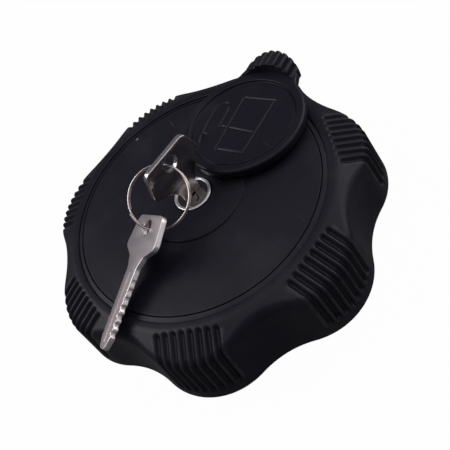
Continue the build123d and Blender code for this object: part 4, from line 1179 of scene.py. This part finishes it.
class CAP_OT_keys(bpy.types.Operator):
    """Cuts the two keys: one in the lock, one on the ring"""

    bl_idname = "cap.keys"
    bl_label = "Keys"

    def execute(self, context):
        across = (cos(KEY_TURN), sin(KEY_TURN), 0)
        key = key_piece("key_standing", key_matrix((0, 0, KEY_TOP_Z), across, (0, 0, 1)))
        finish_piece(key, finish_named("key_nickel"), "key_nickel", "key", "key_in_lock")
        along, side = Vector(SPARE_ALONG).normalized(), Vector(SPARE_SIDE)
        side = (side - along * side.dot(along)).normalized()
        top = Vector(SPARE_HOLE) - along * HOLE_S
        spare = key_piece("key_hanging", key_matrix(top, side, -along))
        # the hanging key gets the lighter copy of the nickel, which is painted light
        finish_piece(spare, finish_named("spare_key"), "key_nickel", "spare", "spare_key")
        return {"FINISHED"}


class CAP_OT_ring(bpy.types.Operator):
    """Winds the split ring"""

    bl_idname = "cap.ring"
    bl_label = "Split ring"

    def execute(self, context):
        sizes = context.scene.cap_ring
        material = finish_named("ring_nickel")
        up = Vector(RING_UP).normalized()
        across = up.cross(Vector((0, 0, 1))).normalized()
        pose = axes_matrix(across, up.cross(across), up)
        ring = wound("split_ring_wire", {
            "Turns": sizes.turns, "Radius": sizes.radius, "Pitch": sizes.pitch,
            "Wire radius": sizes.wire / 2, "Centre": [v * MM for v in RING_CENTRE],
            "Turn": list(pose.to_euler()), "Material": material,
        })
        finish_piece(ring, material, "ring_nickel", "ring", "split_ring")
        return {"FINISHED"}


class CAP_OT_spring(bpy.types.Operator):
    """Winds the spring that presses the seal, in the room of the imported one"""

    bl_idname = "cap.spring"
    bl_label = "Spring"

    def execute(self, context):
        packed = frame["nodes"]["pressure_spring"]
        heights = [(packed.matrix_world @ Vector(corner)).z for corner in packed.bound_box]
        low, high = min(heights), max(heights)
        material = finish_named("spring_steel")
        spring = wound("pressure_spring_wire", {
            "Turns": SPRING_TURNS, "Radius": SPRING_R,
            "Pitch": (high - low - SPRING_WIRE) / SPRING_TURNS, "Wire radius": SPRING_WIRE / 2,
            "Centre": [0.0, 0.0, (low + high) / 2], "Material": material,
        })
        finish_piece(spring, material, "spring_steel", "cap_body", "pressure_spring")
        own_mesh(spring)
        return {"FINISHED"}


class CAP_OT_lock(bpy.types.Operator):
    """Turns the lock's housing"""

    bl_idname = "cap.lock"
    bl_label = "Lock"

    def execute(self, context):
        housing = turned("lock_sleeve", rounded(LOCK_SLEEVE, steps=5), 160)
        smooth_by_angle(housing, 38)
        metal = finish_named("lock_metal")
        finish_piece(housing, metal, "lock_metal", "cap_body", "lock_housing")
        return {"FINISHED"}


class CAP_OT_closure(bpy.types.Operator):
    """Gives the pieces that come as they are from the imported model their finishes"""

    bl_idname = "cap.closure"
    bl_label = "Closure"

    def execute(self, context):
        slots = {s["node"]: s["material_slot"] for s in frame["record"]["subparts"]}
        for node, made in frame["nodes"].items():
            if not made.hide_render:
                made.data.materials.clear()
                made.data.materials.append(finish_named(node, slots[node]))
        return {"FINISHED"}


FLOOR_HALF, FLOOR_DROP = 4000.0, 0.00005
AIM = (0.0, 0.0, 0.03)
LAMPS = (  # name, place, width, height, power
    ("overhead_softbox", (0.3, -0.1, 1.2), 1.6, 1.6, 6.0),
    ("left_softbox", (-0.75, 0.45, 0.95), 0.7, 0.7, 7.5),
    ("right_softbox", (1.0, 0.1, 0.4), 0.8, 1.0, 5.0),
    ("front_softbox", (0.65, -0.75, 0.12), 0.6, 0.35, 0.7),
)
LAMP_COLOUR = (1.0, 0.98, 0.97)
WHITE = (1.0, 1.0, 1.0, 1.0)
PAPER = (0.6, 0.6, 0.6, 1.0)
ROOM, ROOM_MIRRORED = (0.15, 0.15, 0.17, 1.0), (0.17, 0.17, 0.2, 1.0)
PAPER_GLOW = 0.98  # share of the paper's own light for the rays that get it
MIRRORED_DIM = 0.9  # how much of that light is kept from mirrored rays
LENS, SHIFT_X, SHIFT_Y = 57.71, 0.0668, -0.0635
EYE = (0, -0.19835, 0.24235)
EYE_AXES = ((0.78652, -0.44208, -0.43122), (0.61756, 0.56303, 0.54919), (0.0, -0.69825, 0.71585))


class CAP_OT_stage(bpy.types.Operator):
    """Sets up the floor, the lamps, the surroundings and the camera"""

    bl_idname = "cap.stage"
    bl_label = "Stage"

    def floor(self):
        near, far = -FLOOR_HALF, FLOOR_HALF
        corners = [(near, near, 0), (far, near, 0), (far, far, 0), (near, far, 0)]
        floor = mesh_object("floor", corners, [(0, 1, 2, 3)])
        floor.location.z = -FLOOR_DROP
        paper = bpy.data.materials.new("studio_paper")
        paper.use_nodes = True
        paper.node_tree.nodes.clear()
        g = Graph(paper.node_tree)
        white = g.node("ShaderNodeBsdfDiffuse", Color=PAPER)
        seen, mirrored, through = g.rays("Camera", "Glossy", "Transmission")
        # white to the camera, dim in the reflections of the skirt
        glow = g.node("ShaderNodeEmission", WHITE, 1.0 - mirrored * MIRRORED_DIM)
        share = (seen + mirrored + through).math("MINIMUM", 1.0) * PAPER_GLOW
        both = g.node("ShaderNodeMixShader", share, white, glow)
        g.finish("ShaderNodeOutputMaterial", both)
        floor.data.materials.append(paper)

    def surroundings(self, scene):
        world = bpy.data.worlds.new("studio")
        scene.world = world
        world.use_nodes = True
        world.node_tree.nodes.clear()
        g = Graph(world.node_tree)
        seen, through, mirrored = g.rays("Camera", "Transmission", "Glossy")
        share = (seen + through).math("MINIMUM", 1.0)
        shade = g.mix(share, g.mix(mirrored, ROOM, ROOM_MIRRORED), WHITE)
        g.finish("ShaderNodeOutputWorld", g.node("ShaderNodeBackground", shade, 1.0))

    def execute(self, context):
        scene = context.scene
        self.floor()
        self.surroundings(scene)
        for name, place, width, height, power in LAMPS:
            lamp = bpy.data.lights.new(name, "AREA")
            lamp.shape = "RECTANGLE"
            lamp.size, lamp.size_y = width, height
            lamp.energy = power
            lamp.color = LAMP_COLOUR
            stand = scene_object(name, lamp)
            stand.location = place
            toward = Vector(AIM) - Vector(place)
            stand.rotation_euler = toward.to_track_quat("-Z", "Y").to_euler()
        camera = bpy.data.cameras.new("camera")
        camera.sensor_fit = "HORIZONTAL"
        camera.sensor_width = 36.0
        camera.lens, camera.shift_x, camera.shift_y = LENS, SHIFT_X, SHIFT_Y
        camera.clip_start, camera.clip_end = 0.01, 50.0
        scene.camera = scene_object("camera", camera)
        scene.camera.matrix_world = axes_matrix(*EYE_AXES, EYE)
        scene.view_settings.view_transform = "Standard"
        return {"FINISHED"}


class CAP_PT_panel(bpy.types.Panel):
    """Lists the cap's operators and sizes"""

    bl_label = "Filler cap"
    bl_idname = "CAP_PT_panel"
    bl_space_type = "VIEW_3D"
    bl_region_type = "UI"
    bl_category = "Filler cap"

    def draw(self, context):
        for name in GROUPS:
            group = getattr(context.scene, name)
            for key in group.bl_rna.properties.keys():
                if key not in ("rna_type", "name"):
                    self.layout.prop(group, key)
        for operator in OPERATORS:
            self.layout.operator(operator.bl_idname)


GROUPS = {"cap_grip": CapGripSizes, "cap_ring": CapRingSizes, "cap_colours": CapColours}
OPERATORS = (
    CAP_OT_stage, CAP_OT_grip, CAP_OT_plate, CAP_OT_cover, CAP_OT_keys, CAP_OT_ring,
    CAP_OT_lock, CAP_OT_spring, CAP_OT_closure,
)
CLASSES = (*GROUPS.values(), *OPERATORS, CAP_PT_panel)


def register():
    for item in CLASSES:
        bpy.utils.register_class(item)
    for name, group in GROUPS.items():
        setattr(bpy.types.Scene, name, bpy.props.PointerProperty(type=group))


def unregister():
    for name in GROUPS:
        delattr(bpy.types.Scene, name)
    for item in reversed(CLASSES):
        bpy.utils.unregister_class(item)


def main():
    register()
    for operator in OPERATORS:
        family, action = operator.bl_idname.split(".")
        getattr(getattr(bpy.ops, family), action)()


if __name__ == "__main__":
    main()
